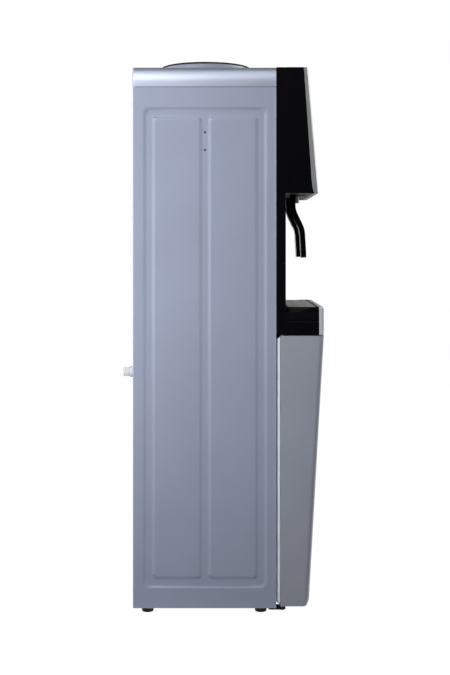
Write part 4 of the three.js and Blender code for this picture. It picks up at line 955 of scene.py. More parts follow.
second_finish(head, UNDERSIDE_BLACK, lambda middle, way: way.z < -0.5 and middle.z < shell_low.z + UNDERSIDE)

# %% [markdown]
# ## Silver fascia
# A silver strip caps the head. Seen from the side its rear edge bows, wide in the middle and narrower at the ends,
# and its front corners are well rounded. It leans with the head, so its hollow and the opening for the window are
# made upright and then leaned by the same share of their height.

# %% Mould the fascia
FASCIA_CORNER, FASCIA_EDGE, FASCIA_BLOCK, REAR_LOOP = 0.0064, 0.0007, 0.02, 0.0195
WINDOW_LOW, WINDOW_HIGH, WINDOW_HALF, WINDOW_CORNER = 0.8753, 0.9393, 0.075, 0.005
fascia_low, fascia_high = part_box("head_fascia")


def leaning(name, low, high, corner=0):
    """A block that leans as the head does, given by its place at the head's lower edge."""
    form = block(name, low, high)
    if corner:
        round_edges(form, along_y, corner, 5)
    for point in form.data.vertices:
        point.co.y += HEAD_LEAN * (point.co.z - fascia_low.z)
    return form


fascia = block("fascia", (fascia_low.x, HEAD_FRONT, fascia_low.z),
               (fascia_high.x, HEAD_FRONT + FASCIA_BLOCK, fascia_high.z))
slice_at(fascia, *LEVELS)
for height in (fascia_low.z, *LEVELS, fascia_high.z):
    lean = HEAD_LEAN * (height - fascia_low.z)
    shift(fascia, rung(height, high=HEAD_FRONT + CLOSE), (0, lean, 0))
    shift(fascia, rung(height, low=HEAD_FRONT + REAR_LOOP), (0, lean + strip_rear(height) - FASCIA_BLOCK, 0))
round_edges(fascia, lambda middle, way: upright(middle, way) and middle.y < HEAD_FRONT + CLOSE
            + HEAD_LEAN * (middle.z - fascia_low.z), FASCIA_CORNER, 10)
carve(fascia, leaning("pan", (fascia_low.x + WALL, HEAD_FRONT + WALL, fascia_low.z + WALL),
                      (fascia_high.x - WALL, HEAD_FRONT + 0.03, fascia_high.z - WALL)))
carve(fascia, leaning("opening", (-WINDOW_HALF, HEAD_FRONT - 0.02, WINDOW_LOW),
                      (WINDOW_HALF, HEAD_FRONT + 0.02, WINDOW_HIGH), WINDOW_CORNER))
fit_out(soften(fascia, FASCIA_EDGE, 3, 30), "cabinet", FASCIA_SILVER, "silver_moulding", "head_fascia")

# %% [markdown]
# ## Window, lights and dots
# A polished black window sits flush in the fascia, held by a flange behind it, with a red light for heating and a
# green one for cooling. Below it a red and a blue dot mark the hot and the cold tap. Lights and dots are small turned
# buttons with a rounded face.

# %% Fit the window, its lights and the dots
FLANGE_HALF, FLANGE_TALL, LIGHT_RADIUS = 0.081, 0.006, 0.0025
DOT_HEIGHT, DOT_RADIUS, DOT_TALL, DOT_PROUD = 0.800, 0.0052, 0.0017, 0.0005
LIGHT_LINE = [(LIGHT_RADIUS, 0), (LIGHT_RADIUS, 0.0112), (0.0022, 0.0118), (0.0015, 0.0122), (0.0006, 0.0124)]
DOT_LINE = [(DOT_RADIUS, 0), (DOT_RADIUS, 0.0012), (DOT_RADIUS - 0.0004, 0.0016), (0.0005, DOT_TALL)]
light_x, _, light_z = middle_of("heating_lens")
light_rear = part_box("heating_lens")[1].y

window = leaning("window", (-WINDOW_HALF + GAP, HEAD_FRONT, WINDOW_LOW + GAP),
                 (WINDOW_HALF - GAP, HEAD_FRONT + WALL + 2 * GAP, WINDOW_HIGH - GAP), WINDOW_CORNER - GAP)
flange = leaning("flange", (-FLANGE_HALF, HEAD_FRONT + WALL + GAP, WINDOW_LOW - FLANGE_TALL),
                 (FLANGE_HALF, HEAD_FRONT + 2 * WALL, WINDOW_HIGH + FLANGE_TALL))
fuse(window, flange)
for x in (light_x, -light_x):
    bore(window, LIGHT_RADIUS + GAP, (x, HEAD_FRONT - 0.01, light_z), (x, HEAD_FRONT + 0.03, light_z), 32)
fit_out(soften(window, FINE_EDGE), "cabinet", WINDOW_BLACK, "gloss_black", "control_window")

for name, x, finish, slot in (("heating", light_x, RED_LENS, "red_lens"),
                              ("cooling", -light_x, GREEN_LENS, "green_lens")):
    light = turned(name + "_light", (x, light_rear, light_z), LIGHT_LINE, 32, TOWARDS_FRONT)
    fit_out(shade(light, 30), "cabinet", finish, slot, name + "_lens")

dot_y = HEAD_FRONT + HEAD_LEAN * (DOT_HEIGHT - fascia_low.z) + DOT_TALL - DOT_PROUD
dot_turn = (90 - math.degrees(math.atan(HEAD_LEAN)), 0, 0)
for name, x, finish, slot in (("hot_dot", -TAP_X, RED_LENS, "red_lens"), ("cold_dot", TAP_X, BLUE_LENS, None)):
    dot = turned(name, (x, dot_y, DOT_HEIGHT), DOT_LINE, 48, dot_turn)
    fit_out(shade(dot, 30), "cabinet", finish, slot)

# %% [markdown]
# ## Taps
# Behind each lever stands a small milky tap: a barrel through the column with a flange, an upright tower for the
# valve, a tapering spout below it, and a boss that carries the lever's pin. Each part is round, so each is a bar or a
# turned form, and they are joined into one moulding.

# %% Mould the taps
SPOUT_Y, PIVOT_Y, PIVOT_Z = REAR - 0.3003, REAR - 0.3113, 0.786
BARREL, FLANGE, FLANGE_THICK, BARB, ARM_HALF = 0.007, 0.0092, 0.003, 0.0032, 0.0067
SHROUD_HALF, SHROUD_OUT, SHROUD_LOW, BOSS = 0.0064, 0.0055, 0.7612, 0.006
SPOUT_BORE, STEM_BORE, PIVOT_BORE = 0.0028, 0.0026, 0.0023
tap_low, tap_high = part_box("hot_tap_body")
COLUMN_FRONT = column_low.y
TAP_LINE = [(0.0044, tap_low.z), (0.0050, tap_low.z + 0.0004), (0.0050, tap_low.z + 0.003), (0.0046, 0.765),
            (0.0062, 0.7685), (0.0070, 0.7705), (0.0070, tap_high.z - 0.0042), (0.0066, tap_high.z - 0.0034),
            (0.0055, tap_high.z - 0.003)]


def pivot_bore(piece, x, reach):
    """Drill the hole for a lever's pin."""
    bore(piece, PIVOT_BORE, (x - reach, PIVOT_Y, PIVOT_Z), (x + reach, PIVOT_Y, PIVOT_Z))


for name, x in (("hot", -TAP_X), ("cold", TAP_X)):
    tap = turned(name + "_tap", (x, SPOUT_Y, 0), TAP_LINE, 48)
    parts = [
        drum("barrel", BARREL, (x, COLUMN_FRONT + 0.009, TAP_Z), (x, SPOUT_Y, TAP_Z)),
        drum("flange", FLANGE, (x, COLUMN_FRONT - GAP, TAP_Z), (x, COLUMN_FRONT - GAP - FLANGE_THICK, TAP_Z)),
        drum("barb", BARB, (x, tap_high.y, TAP_Z), (x, SPOUT_Y, TAP_Z), 32),
        block("arm", (x - ARM_HALF, PIVOT_Y, TAP_Z), (x + ARM_HALF, SPOUT_Y, tap_high.z - 0.0033)),
        block("shroud", (x - SHROUD_HALF, PIVOT_Y - SHROUD_OUT, SHROUD_LOW), (x + SHROUD_HALF, SPOUT_Y, TAP_Z)),
        drum("boss", BOSS, (x - ARM_HALF, PIVOT_Y, PIVOT_Z), (x + ARM_HALF, PIVOT_Y, PIVOT_Z), 40),
    ]
    fuse(tap, *parts)
    bore(tap, SPOUT_BORE, (x, SPOUT_Y, 0.74), (x, SPOUT_Y, TAP_Z), 32)
    bore(tap, STEM_BORE, (x, SPOUT_Y, TAP_Z), (x, SPOUT_Y, 0.80))
    pivot_bore(tap, x, 0.02)
    fit_out(soften(tap, EDGE), "cabinet", SILICONE, "pale_silicone", name + "_tap_body")

# %% [markdown]
# ## Levers
# A lever is one bent strip, wider than it is thick, with a fork at its upper end that straddles the tap. The strip
# is pulled along a line of six points whose corners are rounded like bends in bar stock: the end face is extruded a
# step, then turned to face along the line. The foot of the lever is rounded, and so is the bottom of the fork's slot.

# %% Bend the levers
LEVER_WIDTH, LEVER_THICK, BEND_REACH, BEND_STEPS = 0.032, 0.0095, 0.0085, 6
FOOT_ROUND, FORK_HALF, FORK_LOW, FORK_ROUND, LEVER_EDGE = 0.011, 0.008, 0.706, 0.0075, 0.0016
LEVER_LINE = [(0.3163, 0.7860), (0.2973, 0.7860), (0.2923, 0.7640), (0.2933, 0.7350), (0.3103, 0.6990),
              (0.3133, 0.6470)]


def bent_line(points, reach, steps):
    """A line of points whose inner corners are rounded off over a reach on either side."""
    places = [points[0]]
    for before, corner, after in zip(points, points[1:], points[2:]):
        start = corner + (before - corner).normalized() * min(reach, (before - corner).length / 2.2)
        end = corner + (after - corner).normalized() * min(reach, (after - corner).length / 2.2)
        for step in range(steps + 1):
            t = step / steps
            places.append(start * (1 - t) ** 2 + corner * (2 * t * (1 - t)) + end * t ** 2)
    return [*places, points[-1]]


def strip(name, x, places, width, thick):
    """A strip of even thickness pulled along places in the upright plane at x."""
    ways = [(b - a).normalized() for a, b in zip(places, places[1:])]
    ways = [ways[0], *((a + b).normalized() for a, b in zip(ways, ways[1:])), ways[-1]]
    angles = [math.atan2(-way.y, way.z) for way in ways]
    rest()
    bpy.ops.mesh.primitive_plane_add(size=1, location=(x, *places[0].yz), rotation=(angles[0], 0, 0))
    bpy.context.object.scale = (width, thick, 1)
    piece = settle(name)
    pick(piece, lambda middle, normal: True)
    for before, now, old, new in zip(places, places[1:], angles, angles[1:]):
        bpy.ops.mesh.extrude_region_move(TRANSFORM_OT_translate={"value": now - before})
        turn = (new - old + math.pi) % (2 * math.pi) - math.pi
        bpy.ops.transform.rotate(value=-turn, orient_axis="X", center_override=(x, *now.yz))
    merge(piece, TINY, outwards=True)
    return piece


lever_places = bent_line([Vector((0, REAR - depth, height)) for depth, height in LEVER_LINE], BEND_REACH, BEND_STEPS)
foot = lever_places[-1]
for name, x in (("hot", -TAP_X), ("cold", TAP_X)):
    lever = strip(name + "_lever_strip", x, lever_places, LEVER_WIDTH, LEVER_THICK)
    round_edges(lever, lambda middle, way: abs(way.x) < 0.1 and (middle.yz - foot.yz).length < 0.003, FOOT_ROUND, 8)
    slice_at(lever, x, way=(1, 0, 0))
    fork = block("fork", (x - FORK_HALF, -0.19, FORK_LOW), (x + FORK_HALF, -0.10, 0.83))
    round_edges(fork, lambda middle, way: along_y(middle, way) and middle.z < 0.71, FORK_ROUND, 8)
    carve(lever, fork)
    pivot_bore(lever, x, 0.03)
    fit_out(soften(lever, LEVER_EDGE, 3, 35), name + "_lever", LEVER_BLACK, "satin_black", name + "_tap_lever")

# %% [markdown]
# ## Ledge and trim
# The black ledge below the taps holds the drip tray. Each side wall has a finger scoop at the top, over a band that
# slopes outwards, and a fine line runs under it. The scoop is what a wide drum leaves between two heights. A silver
# strip with rounded corners closes the front.

# %% Mould the ledge and its trim
BAND_LOW, BAND_HIGH, BAND_IN, LINE_HEIGHT, LINE_HALF, LINE_DEEP = 0.537, 0.549, 0.0026, 0.5322, 0.0005, 0.0006
WELL_HALF, WELL_FLOOR, LEDGE_EDGE = 0.143, 0.005, 0.0006
SCOOP_RADIUS, SCOOP_Y, SCOOP_Z, SCOOP_IN, SCOOP_OUT = 0.065, REAR - 0.2883, 0.6142, 0.14, 0.16
TRIM_CORNER, TRIM_TOP = 0.008, 0.0022
ledge_low, ledge_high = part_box("ledge_housing")
trim_low, trim_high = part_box("ledge_trim")
well_front, well_rear = ledge_low.y + WALL, ledge_high.y - WALL

ledge = block("ledge", ledge_low, ledge_high)
slice_at(ledge, BAND_LOW, BAND_HIGH)
for side in (-1, 1):
    shift(ledge, lambda middle, way: along_y(middle, way) and side * middle.x > 0.15 and middle.z > BAND_HIGH - CLOSE,
          (-side * BAND_IN, 0, 0))
carve(ledge, block("well", (-WELL_HALF, well_front, ledge_low.z + WELL_FLOOR),
                   (WELL_HALF, well_rear, ledge_high.z + 0.02)))
for side in (-1, 1):
    scoop = drum("scoop", SCOOP_RADIUS, (side * SCOOP_IN, SCOOP_Y, SCOOP_Z), (side * SCOOP_OUT, SCOOP_Y, SCOOP_Z), 160)
    carve(scoop, block("limit", (-0.2, well_front, 0.5), (0.2, well_rear, 0.6)), operation="INTERSECT")
    carve(ledge, scoop)
    carve(ledge, notch("line", side * ledge_high.x, LINE_DEEP, (ledge_low.y - PAST, LINE_HEIGHT - LINE_HALF),
                       (ledge_high.y + PAST, LINE_HEIGHT + LINE_HALF)))
fit_out(soften(ledge, LEDGE_EDGE, angle=25), "cabinet", GLOSS_BLACK, "gloss_black", "ledge_housing")

trim = block("trim", trim_low, trim_high)
round_edges(trim, lambda middle, way: upright(middle, way) and middle.y < trim_low.y + CLOSE, TRIM_CORNER, 10)
round_edges(trim, lambda middle, way: abs(way.z) < 0.2 and middle.z > trim_high.z - NEAR
            and middle.y < trim_high.y - CLOSE, TRIM_TOP, 4)
carve(trim, block("back", *within(trim_low, trim_high, WALL, rear=-PAST)))
fit_out(soften(trim, EDGE), "cabinet", TRIM_SILVER, "silver_moulding", "ledge_trim")

# %% [markdown]
# ## Tray and grille
# The tray lifts out of the ledge. It is a shallow basin with a step, and a steel grille with two rows of slots lies in
# that step. One slot is made and copied, and all of them are cut in one go, as one stroke of a press would.

# %% Mould the tray and punch the grille
TRAY_CORNER, BASIN_IN, BASIN_FLOOR, BASIN_CORNER, ABOVE_TRAY = 0.004, 0.003, 0.002, 0.005, 0.02
GRILLE_CORNER, SLOT_CORNER, SLOT_ROWS, SLOT_COLUMNS = 0.003, 0.0028, 2, 15
SLOT_WIDE, SLOT_PITCH, SLOT_LONG, SLOT_BRIDGE, SLOT_HEIGHTS = 0.006, 0.017, 0.01275, 0.008, (0.54, 0.57)
tray_low, tray_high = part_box("drip_tray")
grille_low, grille_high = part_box("drip_grille")

tray = block("tray", tray_low, tray_high)
round_edges(tray, upright, TRAY_CORNER, 5)
slice_at(tray, 0, way=(1, 0, 0))
slice_at(tray, (tray_low.y + tray_high.y) / 2, way=(0, 1, 0))
above = (*grille_high.xy, tray_high.z)
basin = block("basin", *within((*grille_low.xy, tray_low.z), above, BASIN_IN, below=BASIN_FLOOR, above=-ABOVE_TRAY))
round_edges(basin, upright, BASIN_CORNER, 5)
step = block("step", *within(grille_low, above, -GAP, above=-ABOVE_TRAY))
carve(tray, basin, step)
fit_out(soften(tray, EDGE), "tray", SATIN_BLACK, "satin_black", "drip_tray")

grille = block("grille", grille_low, grille_high)
round_edges(grille, upright, GRILLE_CORNER, 5)
slice_at(grille, *((column - SLOT_COLUMNS / 2) * SLOT_PITCH for column in range(SLOT_COLUMNS + 1)), way=(1, 0, 0))
slice_at(grille, (grille_low.y + grille_high.y) / 2, way=(0, 1, 0))
slot_xs = [(column - (SLOT_COLUMNS - 1) / 2) * SLOT_PITCH for column in range(SLOT_COLUMNS)]
slot_ys = [grille_high.y - SLOT_BRIDGE - row * (SLOT_LONG + SLOT_BRIDGE) for row in range(SLOT_ROWS)]
places = [(x, y) for y in slot_ys for x in slot_xs]
first_x, first_y = places[0]
slot = block("slot", (first_x - SLOT_WIDE / 2, first_y - SLOT_LONG, SLOT_HEIGHTS[0]),
             (first_x + SLOT_WIDE / 2, first_y, SLOT_HEIGHTS[1]))
round_edges(slot, upright, SLOT_CORNER, 5)
carve(grille, join([slot, *(copy_of(slot, "slot", (x - first_x, y - first_y, 0)) for x, y in places[1:])]))
fit_out(soften(grille, EDGE), "grille", GRILLE_STEEL, "bare_steel", "drip_grille")

# %% [markdown]
# ## Storage door
# The door is a deep silver moulding. Its front slopes back towards the floor, its front corners are rounded, and its
# foot is chamfered. A grip is sunk into its free edge. The hollow is a smaller copy of the outer form, so the wall is
# even, and two bosses at the left edge take the pins.

# %% Mould the door
DOOR_TAPER, DOOR_CORNER, DOOR_EDGE, CHAMFER_HIGH, CHAMFER_DEEP = 0.0275, 0.010, 0.0009, 0.0104, 0.0035
GRIP_LOW, GRIP_HIGH = Vector((0.141, REAR - 0.3092, 0.2125)), Vector((0.155, REAR - 0.2842, 0.3125))
GRIP_CORNER, DOOR_BOSS, DOOR_BOSS_TALL = 0.006, 0.0055, 0.012
door_low, door_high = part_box("door_shell")
DOOR_LEAN = DOOR_TAPER / (door_high.z - door_low.z)


def door_form(name, inset, past):
    """The door's outside, or the hollow inside it."""
    form = block(name, *within(door_low, door_high, inset, rear=-past))
    slice_at(form, door_low.z + CHAMFER_HIGH)
    slice_at(form, 0, way=(1, 0, 0))
    for height, extra in ((door_low.z + inset, CHAMFER_DEEP), (door_low.z + CHAMFER_HIGH, 0)):
        back = DOOR_LEAN * (door_high.z - height) + extra
        shift(form, rung(height, high=door_low.y + inset + CLOSE), (0, back, 0))
    round_edges(form, lambda middle, way: abs(way.z) > 0.8 and middle.y < door_high.y - 0.02, DOOR_CORNER - inset, 10)
    return form


door = door_form("door", 0, 0)
carve(door, door_form("hollow", WALL, PAST))
spare = Vector((WALL, WALL, WALL))
grip_wall = block("grip_wall", GRIP_LOW - spare, GRIP_HIGH + spare - Vector((WALL + 0.0005, 0, 0)))
fuse(door, grip_wall)
grip = block("grip", GRIP_LOW, GRIP_HIGH + Vector((PAST, 0, 0)))
round_edges(grip, along_x, GRIP_CORNER)
carve(door, grip)
for low, high in ((door_low.z, door_low.z + DOOR_BOSS_TALL), (door_high.z - DOOR_BOSS_TALL, door_high.z)):
    boss = block("boss", (PIN_X - DOOR_BOSS, PIN_Y - DOOR_BOSS, low), (PIN_X + DOOR_BOSS, door_high.y, high))
    fuse(door, boss)
hinge_bore(door, 0, 0.53)
fit_out(soften(door, DOOR_EDGE, 3, 25), "door", DOOR_SILVER, "silver_moulding", "door_shell")

# %% [markdown]
# ## Door liner and gasket
# A white liner closes the door's back. It is a rounded sheet with a raised field, which is a block of its own, so
# that the round corners of both stay clean. The gasket round it is a soft pale frame that narrows towards its free
# face and seals against the cabinet.

# %% Mould the door's liner and gasket
LINER_CORNER, FIELD_IN, FIELD_RISE, FIELD_SUNK, FIELD_ROUND = 0.006, 0.0225, 0.0025, 0.002, 0.008
FIELD_DRAFT = (0.985, 1, 0.99)
GASKET_WIDE, GASKET_DRAFT, SEAL_EDGE, SEAL_CORNER, SEAL_INSIDE = 0.021, 0.0035, 0.0006, 0.0055, 0.0022
liner_low, liner_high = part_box("door_liner")
gasket_low, gasket_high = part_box("door_gasket")
liner_z = (liner_low.z + liner_high.z) / 2

liner = block("liner", liner_low, liner_high)
round_edges(liner, along_y, LINER_CORNER)
slice_at(liner, 0, way=(1, 0, 0))
slice_at(liner, liner_z)
raised = block("raised", (liner_low.x + FIELD_IN, liner_high.y - FIELD_SUNK, liner_low.z + FIELD_IN),
               (liner_high.x - FIELD_IN, liner_high.y + FIELD_RISE, liner_high.z - FIELD_IN))
round_edges(raised, along_y, FIELD_ROUND)
pick_end(raised, (0, 1, 0))
bpy.ops.transform.resize(value=FIELD_DRAFT, center_override=(0, 0, liner_z))
rest()
fuse(liner, raised)
fit_out(soften(liner, DOOR_EDGE, 3, 20), "door", WHITE_PLASTIC, "white_plastic", "door_liner")

seal_low = Vector((liner_low.x + SEAL_EDGE, gasket_low.y, liner_low.z + SEAL_EDGE))
seal_high = Vector((liner_high.x - SEAL_EDGE, gasket_high.y, liner_high.z - SEAL_EDGE))
gasket = block("gasket", seal_low, seal_high)
round_edges(gasket, along_y, SEAL_CORNER)
pick_end(gasket, (0, 1, 0))
narrow_x, _, narrow_z = [1 - 2 * GASKET_DRAFT / (high - low) for low, high in zip(seal_low, seal_high)]
bpy.ops.transform.resize(value=(narrow_x, 1, narrow_z), center_override=(seal_low + seal_high) / 2)
rest()
inner = Vector((GASKET_WIDE, -PAST, GASKET_WIDE))
hole = block("hole", seal_low + inner, seal_high - inner)
round_edges(hole, along_y, SEAL_INSIDE, 4)
carve(gasket, hole)
fit_out(soften(gasket, DOOR_EDGE, 3), "door", PALE_RUBBER, "pale_rubber", "door_gasket")

# %% [markdown]
# ## Feet and hinge bracket
# The feet are short rubber pads on stems, turned with a small round at the bottom. The hinge bracket is a flat black
# plate under the cabinet's corner, with rounded corners and a hole for the pin that the door turns on.

# %% Turn the feet and cut the bracket
FOOT_LINE = [(0.0088, 0), (0.0100, 0.0005), (0.0106, 0.0018), (0.0118, 0.0118), (0.0120, 0.0132), (0.0118, 0.0144),
             (0.0114, 0.0147), (0.0040, 0.0147)]
BRACKET_CORNER = 0.006
for name in ("foot_rear_left", "foot_rear_right", "foot_front_left", "foot_front_right"):
    x, y, _ = middle_of(name)
    pad = turned(name + "_pad", (x, y, 0), [*FOOT_LINE, (FOOT_LINE[-1][0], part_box(name)[1].z)], 48)
    fit_out(shade(pad, 40), "cabinet", BLACK_RUBBER, "black_rubber", name)

bracket = block("bracket", *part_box("lower_hinge_bracket"))
round_edges(bracket, lambda middle, way: upright(middle, way) and middle.y < -0.1, BRACKET_CORNER)
hinge_bore(bracket, 0, 0.03)
fit_out(soften(bracket, FINE_EDGE), "cabinet", SATIN_BLACK, "satin_black", "lower_hinge_bracket")

# %% [markdown]
# ## Fan guard, drain and cap
# The rear panel carries a round guard over the fan and an off-white drain with a ribbed cap. The guard is made of
# steel rings, each a torus, and two crossed bars. The ribs of the cap are what a circle of thin drums leaves standing.

# %% Make the fan guard, the drain and its cap
GUARD_LINE = [(0.0385, 0), (0.0430, 0), (0.0430, 0.0012), (0.0424, 0.0019), (0.0390, 0.0020), (0.0385, 0.0016)]
GUARD_EYE, GUARD_WIRE, GUARD_BAR, GUARD_REACH = 0.0384, 0.00095, 0.00098, 0.0395
GUARD_RINGS = (0.0308, 0.0223, 0.0138)
DRAIN_LINE = [(0.0070, -0.022), (0.0070, 0.0003), (0.0100, 0.0003), (0.0105, 0.0010), (0.0105, 0.0050),
              (0.0098, 0.0056), (0.0098, 0.0070), (0.0105, 0.0076), (0.0105, 0.0165), (0.0099, 0.0175),
              (0.0050, 0.0175), (0.0050, 0.0268), (0.0045, 0.0276)]
DRAIN_BORE, DRAIN_EDGE, DRAIN_REACH = 0.0022, 0.0003, 0.03
CAP_RADIUS, CAP_SOCKET, CAP_END = 0.0085, 0.0053, 0.002
CAP_RIBS, RIB_RADIUS, RIB_OUT, RIB_START = 24, 0.0006, 0.0002, 0.0015
CAP_LINE = [(0.0075, 0), (CAP_RADIUS, 0.0005), (CAP_RADIUS, 0.0108), (0.0078, 0.0118), (0.0060, 0.0122)]
guard_low, guard_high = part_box("fan_guard")
_, GUARD_Y, GUARD_Z = middle_of("fan_guard")
DRAIN_Z = middle_of("drain_outlet")[2]

guard = turned("guard", (0, guard_low.y, GUARD_Z), GUARD_LINE, 96, TOWARDS_REAR)
bore(guard, GUARD_EYE, (0, guard_low.y - PAST, GUARD_Z), (0, guard_high.y + PAST, GUARD_Z), 96)
for radius in GUARD_RINGS:
    rest()
    bpy.ops.mesh.primitive_torus_add(major_radius=radius, minor_radius=GUARD_WIRE, major_segments=72,
                                     minor_segments=10, location=(0, GUARD_Y, GUARD_Z),
                                     rotation=(math.radians(90), 0, 0))
    fuse(guard, settle("ring"))
for across, up in ((GUARD_REACH, 0), (0, GUARD_REACH)):
    bar = drum("bar", GUARD_BAR, (-across, GUARD_Y, GUARD_Z - up), (across, GUARD_Y, GUARD_Z + up), 12)
    fuse(guard, bar)
fit_out(shade(guard, 40), "cabinet", SATIN_BLACK, "satin_black", "fan_guard")

drain = turned("drain", (0, REAR, DRAIN_Z), DRAIN_LINE, 64, TOWARDS_REAR)
bore(drain, DRAIN_BORE, (0, REAR - DRAIN_REACH, DRAIN_Z), (0, REAR + DRAIN_REACH, DRAIN_Z))
fit_out(soften(drain, DRAIN_EDGE), "cabinet", DRAIN_WHITE, "white_plastic", "drain_outlet")

cap_low, cap_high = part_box("drain_cap")
cap = turned("cap", (0, cap_low.y, DRAIN_Z), CAP_LINE, 96, TOWARDS_REAR)
bore(cap, CAP_SOCKET, (0, cap_low.y - PAST, DRAIN_Z), (0, cap_high.y - CAP_END, DRAIN_Z), 48)
grooves = []
for rib in range(CAP_RIBS):
    angle = math.radians(360 * rib / CAP_RIBS)
    x, z = (CAP_RADIUS + RIB_OUT) * math.cos(angle), DRAIN_Z + (CAP_RADIUS + RIB_OUT) * math.sin(angle)
    grooves.append(drum("groove", RIB_RADIUS, (x, cap_low.y + RIB_START, z), (x, cap_high.y + PAST, z), 8))
carve(cap, join(grooves))
fit_out(shade(cap, 35), "cap", DRAIN_WHITE, "white_plastic", "drain_cap")

# %% [markdown]
# ## Inlet and switches
# A mains inlet and a housing with two rocker switches sit in cut-outs of the rear panel. Both are a plate with round
# corners on the panel and a body behind it, so one function starts both. The inlet's socket has the usual two cut
# corners and three blades. Each rocker is a block with a hollow face, turned on its pin so that one end stands out.

# %% Fit the inlet and the switches
PLATE_IN, PLATE_OVERLAP = 0.003, 0.001
SOCKET_HALF, SOCKET_TALL, SOCKET_DEEP, SOCKET_CUT = 0.013, 0.0085, 0.018, 0.0045
BLADES = ((-1, -0.00125), (0, 0.0025), (1, -0.00125))
BLADE_PITCH, BLADE_HALF, BLADE_TALL, BLADE_REAR, BLADE_FRONT = 0.007, 0.001, 0.0025, 0.02, 0.009
POCKET_HALF, POCKET_TALL, POCKET_DEEP = 0.0075, 0.0105, 0.0123
PIN_POCKET, PIN_REACH, PIN_DEEP = 0.0015, 0.0088, 0.0062
ROCKER_TILT, ROCKER_HALF, ROCKER_TALL, ROCKER_OUT, ROCKER_HOLLOW = 10, 0.0069, 0.009, 0.0075, 0.002
ROCKER_BACK, ROCKER_NARROW, PIVOT_IN, ROCKER_PIN, ROCKER_PIN_REACH = 0.001, 0.66, 0.0040, 0.0012, 0.0085
PLATE_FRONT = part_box("rear_panel")[1].y + GAP


def plated(name, low, high):
    """A plate with round corners on the rear panel, and a body behind it."""
    piece = block(name, (low.x, PLATE_FRONT, low.z), high)
    round_edges(piece, along_y, PLATE_IN, 5)
    body = block("body", (low.x + PLATE_IN, low.y, low.z + PLATE_IN),
                 (high.x - PLATE_IN, PLATE_FRONT + PLATE_OVERLAP, high.z - PLATE_IN))
    return fuse(piece, body)


inlet_low, inlet_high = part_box("power_inlet")
inlet_x, _, inlet_z = middle_of("power_inlet")
inlet = plated("inlet", inlet_low, inlet_high)
socket = block("socket", (inlet_x - SOCKET_HALF, inlet_high.y - SOCKET_DEEP, inlet_z - SOCKET_TALL),
               (inlet_x + SOCKET_HALF, inlet_high.y + PAST, inlet_z + SOCKET_TALL))
round_edges(socket, lambda middle, way: along_y(middle, way) and middle.z > inlet_z, SOCKET_CUT, 1)
carve(inlet, socket)
for side, rise in BLADES:
    x, z = inlet_x + side * BLADE_PITCH, inlet_z + rise
    blade = block("blade", (x - BLADE_HALF, inlet_high.y - BLADE_REAR, z - BLADE_TALL),
                  (x + BLADE_HALF, inlet_high.y - BLADE_FRONT, z + BLADE_TALL))
    fuse(inlet, blade)
fit_out(soften(inlet, FINE_EDGE), "cabinet", SATIN_BLACK, "satin_black", "power_inlet")

housing_low, housing_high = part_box("switch_housing")
housing_z = middle_of("switch_housing")[2]
housing = plated("housing", housing_low, housing_high)
pin_y = housing_high.y - PIN_DEEP
for name in ("heating_rocker", "cooling_rocker"):
    x = middle_of(name)[0]
    carve(housing, block("pocket", (x - POCKET_HALF, PLATE_FRONT - POCKET_DEEP, housing_z - POCKET_TALL),
                         (x + POCKET_HALF, housing_high.y + PAST, housing_z + POCKET_TALL)))
    bore(housing, PIN_POCKET, (x - PIN_REACH, pin_y, housing_z), (x + PIN_REACH, pin_y, housing_z))
fit_out(soften(housing, FINE_EDGE), "cabinet", SATIN_BLACK, "satin_black", "switch_housing")

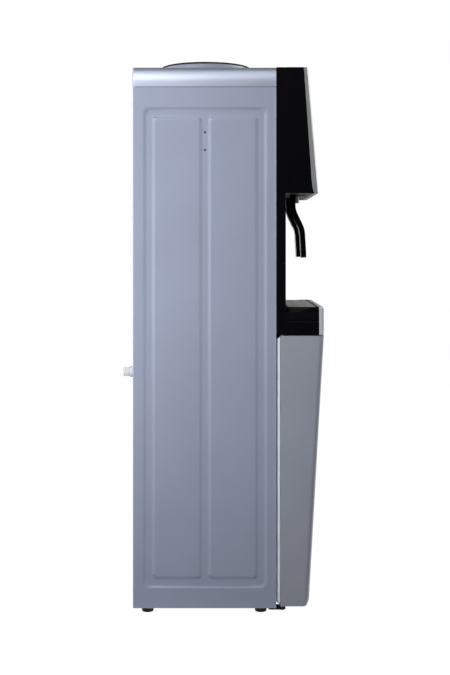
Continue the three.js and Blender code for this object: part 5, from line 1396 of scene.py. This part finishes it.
pivot = PLATE_FRONT - PIVOT_IN
for name, finish, slot in (("heating", RED_LENS, "red_lens"), ("cooling", GREEN_LENS, "green_lens")):
    x = middle_of(name + "_rocker")[0]
    rocker = block(name + "_rocker_key", (x - ROCKER_HALF, pivot - ROCKER_BACK, housing_z - ROCKER_TALL),
                   (x + ROCKER_HALF, pivot + ROCKER_OUT, housing_z + ROCKER_TALL))
    slice_at(rocker, housing_z)
    shift(rocker, rung(housing_z, low=pivot), (0, -ROCKER_HOLLOW, 0))
    pick(rocker, lambda middle, way: along_x(middle, way) and abs(middle.z - housing_z) > CLOSE and middle.y < pivot,
         "EDGE")
    bpy.ops.transform.resize(value=(1, 1, ROCKER_NARROW), center_override=(x, pivot, housing_z))
    bpy.ops.mesh.select_all(action="SELECT")
    bpy.ops.transform.rotate(value=math.radians(ROCKER_TILT), orient_axis="X", center_override=(x, pivot, housing_z))
    rest()
    soften(rocker, DOOR_EDGE, 3, 8)
    pin_ends = [(x + side * ROCKER_PIN_REACH, pivot, housing_z) for side in (-1, 1)]
    pin = drum("pin", ROCKER_PIN, *pin_ends, 20)
    fuse(rocker, pin)
    fit_out(smooth(rocker), name + "_switch", finish, slot, name + "_rocker")

# %% [markdown]
# ## Screws
# Small screws hold the rear panel, the rear folds of the sides and the fan guard. One pan head is turned and gets a
# cross recess, and the rest are copies of it. The ones on the folds have flat heads, because nothing stands out there
# when the cooler is seen from the side.

# %% Turn one screw and copy it
SCREW_LINE = [(0.0030, 0.0001), (0.0030, 0.0004), (0.0028, 0.0010), (0.0022, 0.0015), (0.0012, 0.0018),
              (0.0002, 0.0019)]
CROSS_LONG, CROSS_WIDE, CROSS_FLOOR, FLATTER = 0.0015, 0.00035, 0.0009, 0.3
FOLD_X, FOLD_HEIGHTS = 0.147, (0.045, 0.270, 0.495, 0.720, 0.925)
PANEL_X, PANEL_HEIGHTS, GUARD_SCREW = 0.128, (0.035, 0.560, 0.935), 0.0525
PANEL_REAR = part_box("rear_panel")[1].y
screw = turned("screw", (0, 0, 0), SCREW_LINE, 28, TOWARDS_REAR)
for across, up in ((CROSS_LONG, CROSS_WIDE), (CROSS_WIDE, CROSS_LONG)):
    carve(screw, block("cross", (-across, CROSS_FLOOR, -up), (across, 0.005, up)))
smooth(screw, 40)
flat_screw = copy_of(screw, "flat_screw")
take(flat_screw)
flat_screw.scale.y = FLATTER
settle("flat_screw")
places = [(side * FOLD_X, REAR, height) for side in (-1, 1) for height in FOLD_HEIGHTS]
places += [(side * PANEL_X, PANEL_REAR, height) for side in (-1, 1) for height in PANEL_HEIGHTS]
places += [(side * GUARD_SCREW, PANEL_REAR, GUARD_Z + up * GUARD_SCREW) for side in (-1, 1) for up in (-1, 1)]
for number, place in enumerate(places):
    head = flat_screw if place[1] == REAR else screw
    fit_out(copy_of(head, f"screw_{number + 1:02d}", place), "cabinet", BRUSHED_STEEL, "bare_steel")
for spare_screw in (screw, flat_screw):
    bpy.data.meshes.remove(spare_screw.data)
